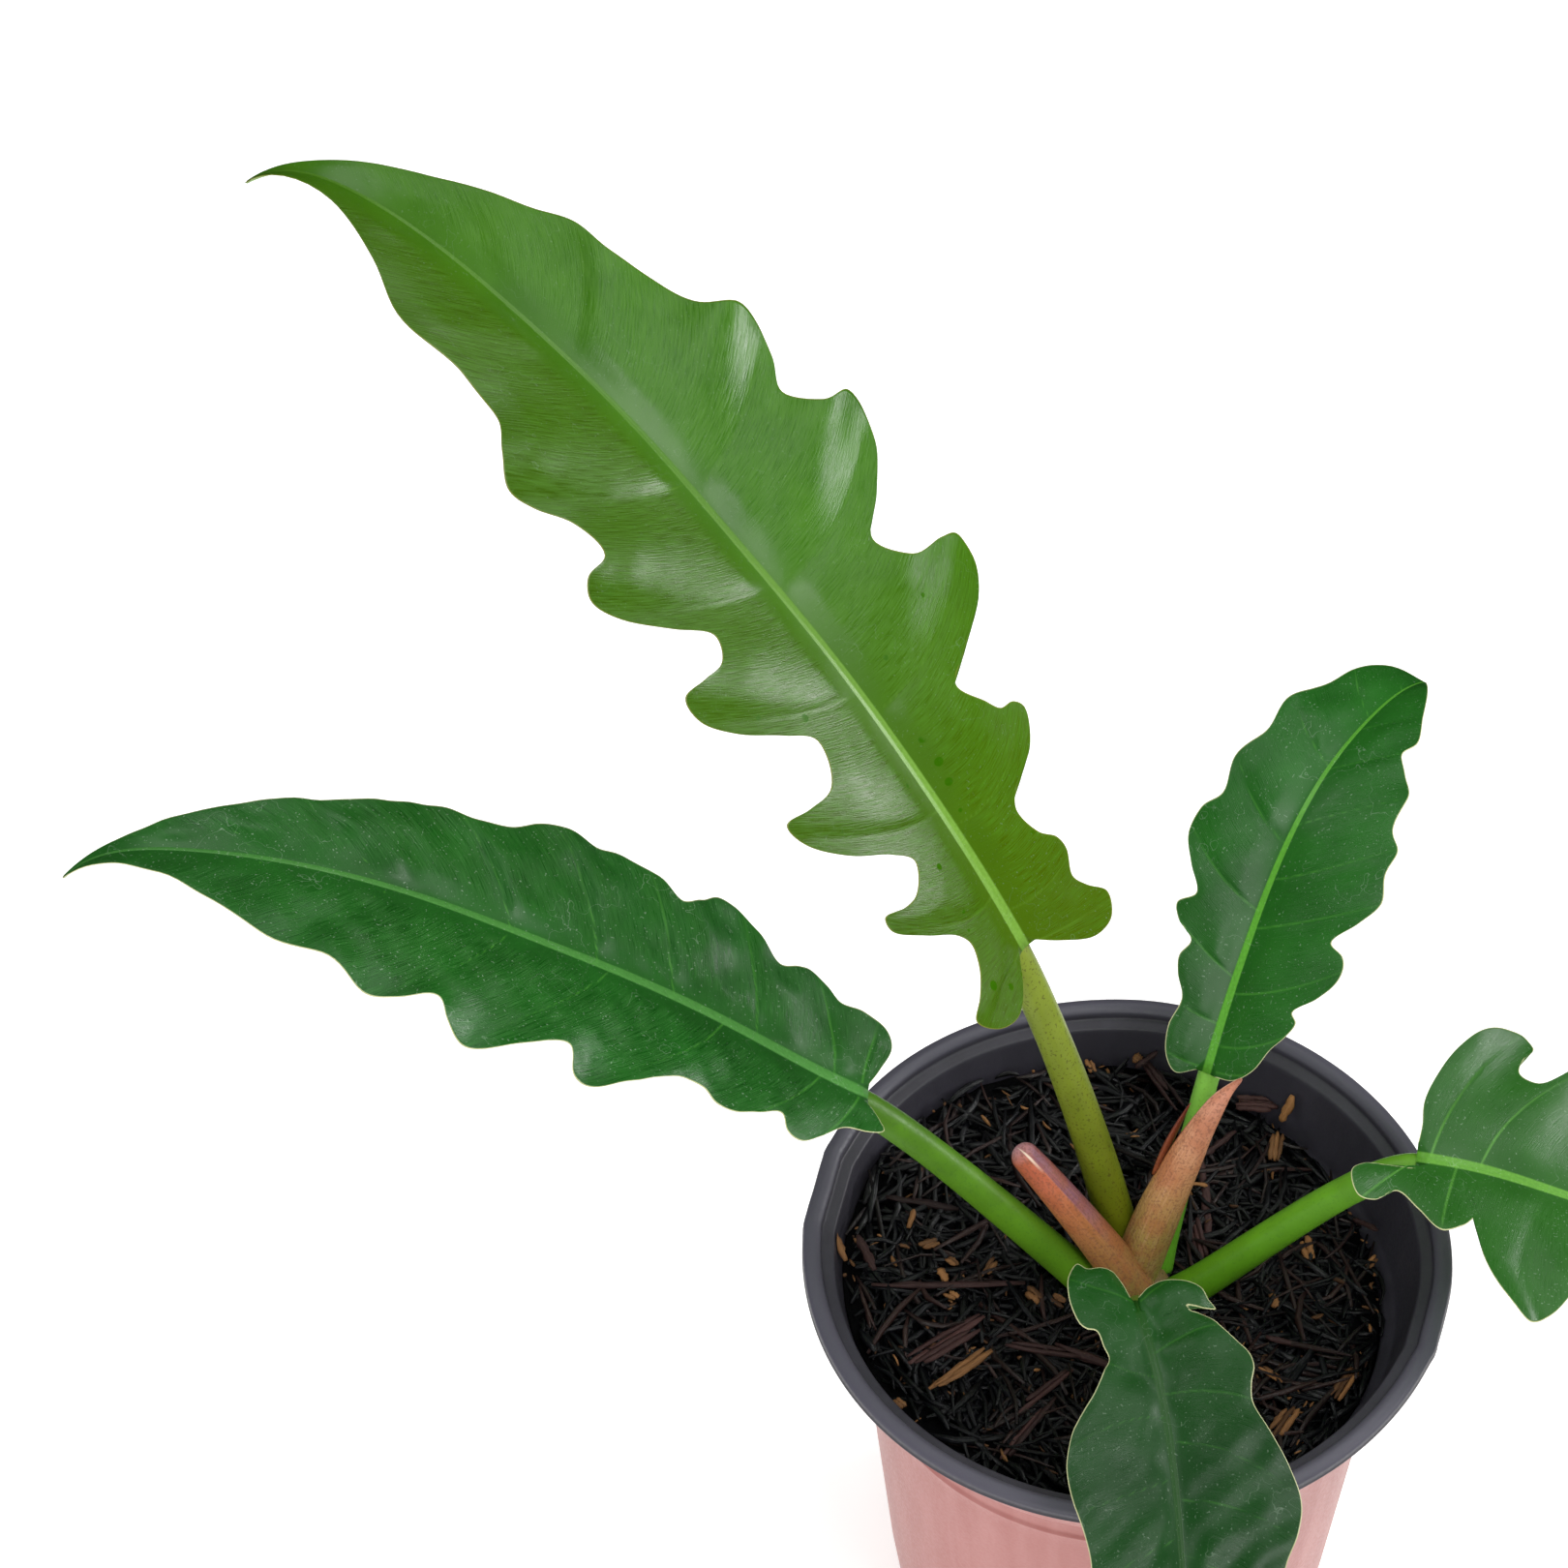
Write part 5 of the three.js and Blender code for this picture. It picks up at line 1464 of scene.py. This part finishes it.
def make_floor(name, half, height, material, mirrored):
    """A wide pale floor or the sheet on it, not part of the object; leaves mirror only the sheet."""
    steps = 24
    side = np.linspace(-half, half, steps)
    x, y = np.meshgrid(side, side)
    verts = np.stack([x.ravel(), y.ravel(), np.full(x.size, height)], axis=-1)
    mesh = bpy.data.meshes.new(name)
    mesh.from_pydata(verts.tolist(), [], grid_faces(steps, steps))
    mesh.materials.append(material)
    floor = bpy.data.objects.new(name, mesh)
    bpy.context.scene.collection.objects.link(floor)
    floor.visible_glossy = mirrored


def add_softbox(name, place, aim, width, height, power, mirrored=True):
    """A large flat studio light that faces the plant; a hidden one gives no mirror image of itself."""
    light = bpy.data.lights.new(name, "AREA")
    light.shape = "RECTANGLE"
    light.size, light.size_y = width, height
    light.energy = power
    lamp = bpy.data.objects.new(name, light)
    lamp.visible_glossy = mirrored
    back = unit(np.array(place) - np.array(aim))
    side = unit(np.cross(UP, back))
    matrix = np.eye(4)
    matrix[:3] = np.column_stack([side, np.cross(back, side), back, place])
    lamp.matrix_world = matrix.T.tolist()
    bpy.context.scene.collection.objects.link(lamp)


def make_studio():
    """White surroundings, softboxes and fills on all sides and above, and the camera."""
    scene = bpy.context.scene
    scene.view_settings.view_transform = "Standard"
    world = bpy.data.worlds.new("white_studio")
    scene.world = world
    world.use_nodes = True
    background = world.node_tree.nodes["Background"]
    background.inputs["Color"].default_value = linear("#ffffff")
    background.inputs["Strength"].default_value = SURROUNDINGS_STRENGTH
    world.cycles_visibility.glossy = False
    for softbox in SOFTBOXES:
        add_softbox(*softbox)
    for fill in FILLS:
        add_softbox(*fill, mirrored=False)

    camera = bpy.data.cameras.new("photo_camera")
    camera.sensor_fit = "HORIZONTAL"
    camera.sensor_width = SENSOR_WIDTH
    camera.lens = CAMERA_LENS
    camera.clip_start, camera.clip_end = 0.05, 20
    holder = bpy.data.objects.new("photo_camera", camera)
    holder.location = CAMERA_PLACE
    holder.rotation_euler = (math.radians(CAMERA_TILT), 0, 0)
    scene.collection.objects.link(holder)
    scene.camera = holder


# The whole plant


def make_leaves():
    """All five leaves with their stalks."""
    young_top = leaf_top("young_leaf_top", YOUNG_LOOK)
    young_under = leaf_under("young_leaf_underside", "#6f9450", "#8fae6a")
    mature_under = leaf_under("mature_leaf_underside", "#4f7d48", "#7ba35f")
    for name, leaf in LEAVES.items():
        path = walk(leaf["base"], leaf["length"], leaf["climb"], leaf["heading"])
        skins = [young_top, young_under]
        if name in MATURE_CHANGES:
            skins = [leaf_top(name + "_top", MATURE_LOOK | MATURE_CHANGES[name]), mature_under]
        make_blade(name, leaf, path, skins)
        make_stalk(name, leaf, path, stalk_skin(*STALK_LOOKS[name]))


def make_mix():
    """Bed, charred sticks, brown twigs and pale husk flakes."""
    char = husk("charred_husk", "#010102", "#08090e", 0.3, specular=0.45)
    bed = husk("charred_fines", "#010102", "#050406", 0.7, specular=0.1)
    twig = husk("brown_coir_twig", "#070405", "#2e1b18", 0.34, specular=0.5)
    bark = husk("red_brown_bark", "#1c1010", "#4a302d", 0.5, specular=0.3)
    flake = husk("golden_husk_flake", "#1c0d08", "#8a6038", 0.6, specular=0.3)
    make_mix_bed(bed)
    make_sticks("charred_sticks", litter(*CHARRED_STICKS), char)
    make_sticks("brown_twigs", litter(*BROWN_TWIGS), twig)
    make_sticks("husk_flakes", litter(*HUSK_FLAKES), flake)
    make_sticks("bark_pieces", splinters(BARK, BARK_SEED), bark, sides=7, rings=9)
    make_sticks("straw_pieces", splinters(STRAW, STRAW_SEED), flake, sides=7, rings=8)


def make_stem(material):
    """The short stub of stem between the stalks."""
    profile = [
        [0.8, STEM_BOTTOM], [1.0, STEM_BOTTOM + 5],
        [1.0, STEM_TOP - 6], [0.8, STEM_TOP - 2], [0.4, STEM_TOP],
    ]
    rings = []
    for size, height in profile:
        rings.append({
            "point": np.array([*STEM_CENTRE, height]),
            "right": np.array([1.0, 0.0, 0.0]),
            "up": np.array([0.0, 1.0, 0.0]),
            "radius": STEM_RADIUS * size,
        })
    verts, faces = loft(rings, STEM_SIDES)
    values = {"run": np.zeros(len(verts))}
    make_piece("stem_stub", verts, faces, [material], ["stem"], values=values)


make_studio()
paper = studio_paper()
make_floor("studio_floor", 4.0, -0.0004, paper, mirrored=False)
make_floor("studio_sheet", 0.32, -0.0003, paper, mirrored=True)
make_leaves()
make_sheath("sheath_left", sheath_skin("mauve_sheath_skin", SHEATH_LOOKS["sheath_left"]))
make_sheath("sheath_right", sheath_skin("brown_pink_sheath_skin", SHEATH_LOOKS["sheath_right"]))
make_flap(stalk_skin(*FLAP_LOOK))
make_stem(stalk_skin(*STEM_LOOK))
shell = make_pot(pot_plastic(*OUTSIDE_PLASTIC), pot_plastic(*INSIDE_PLASTIC))
cut_drain_holes(shell)
make_mix()
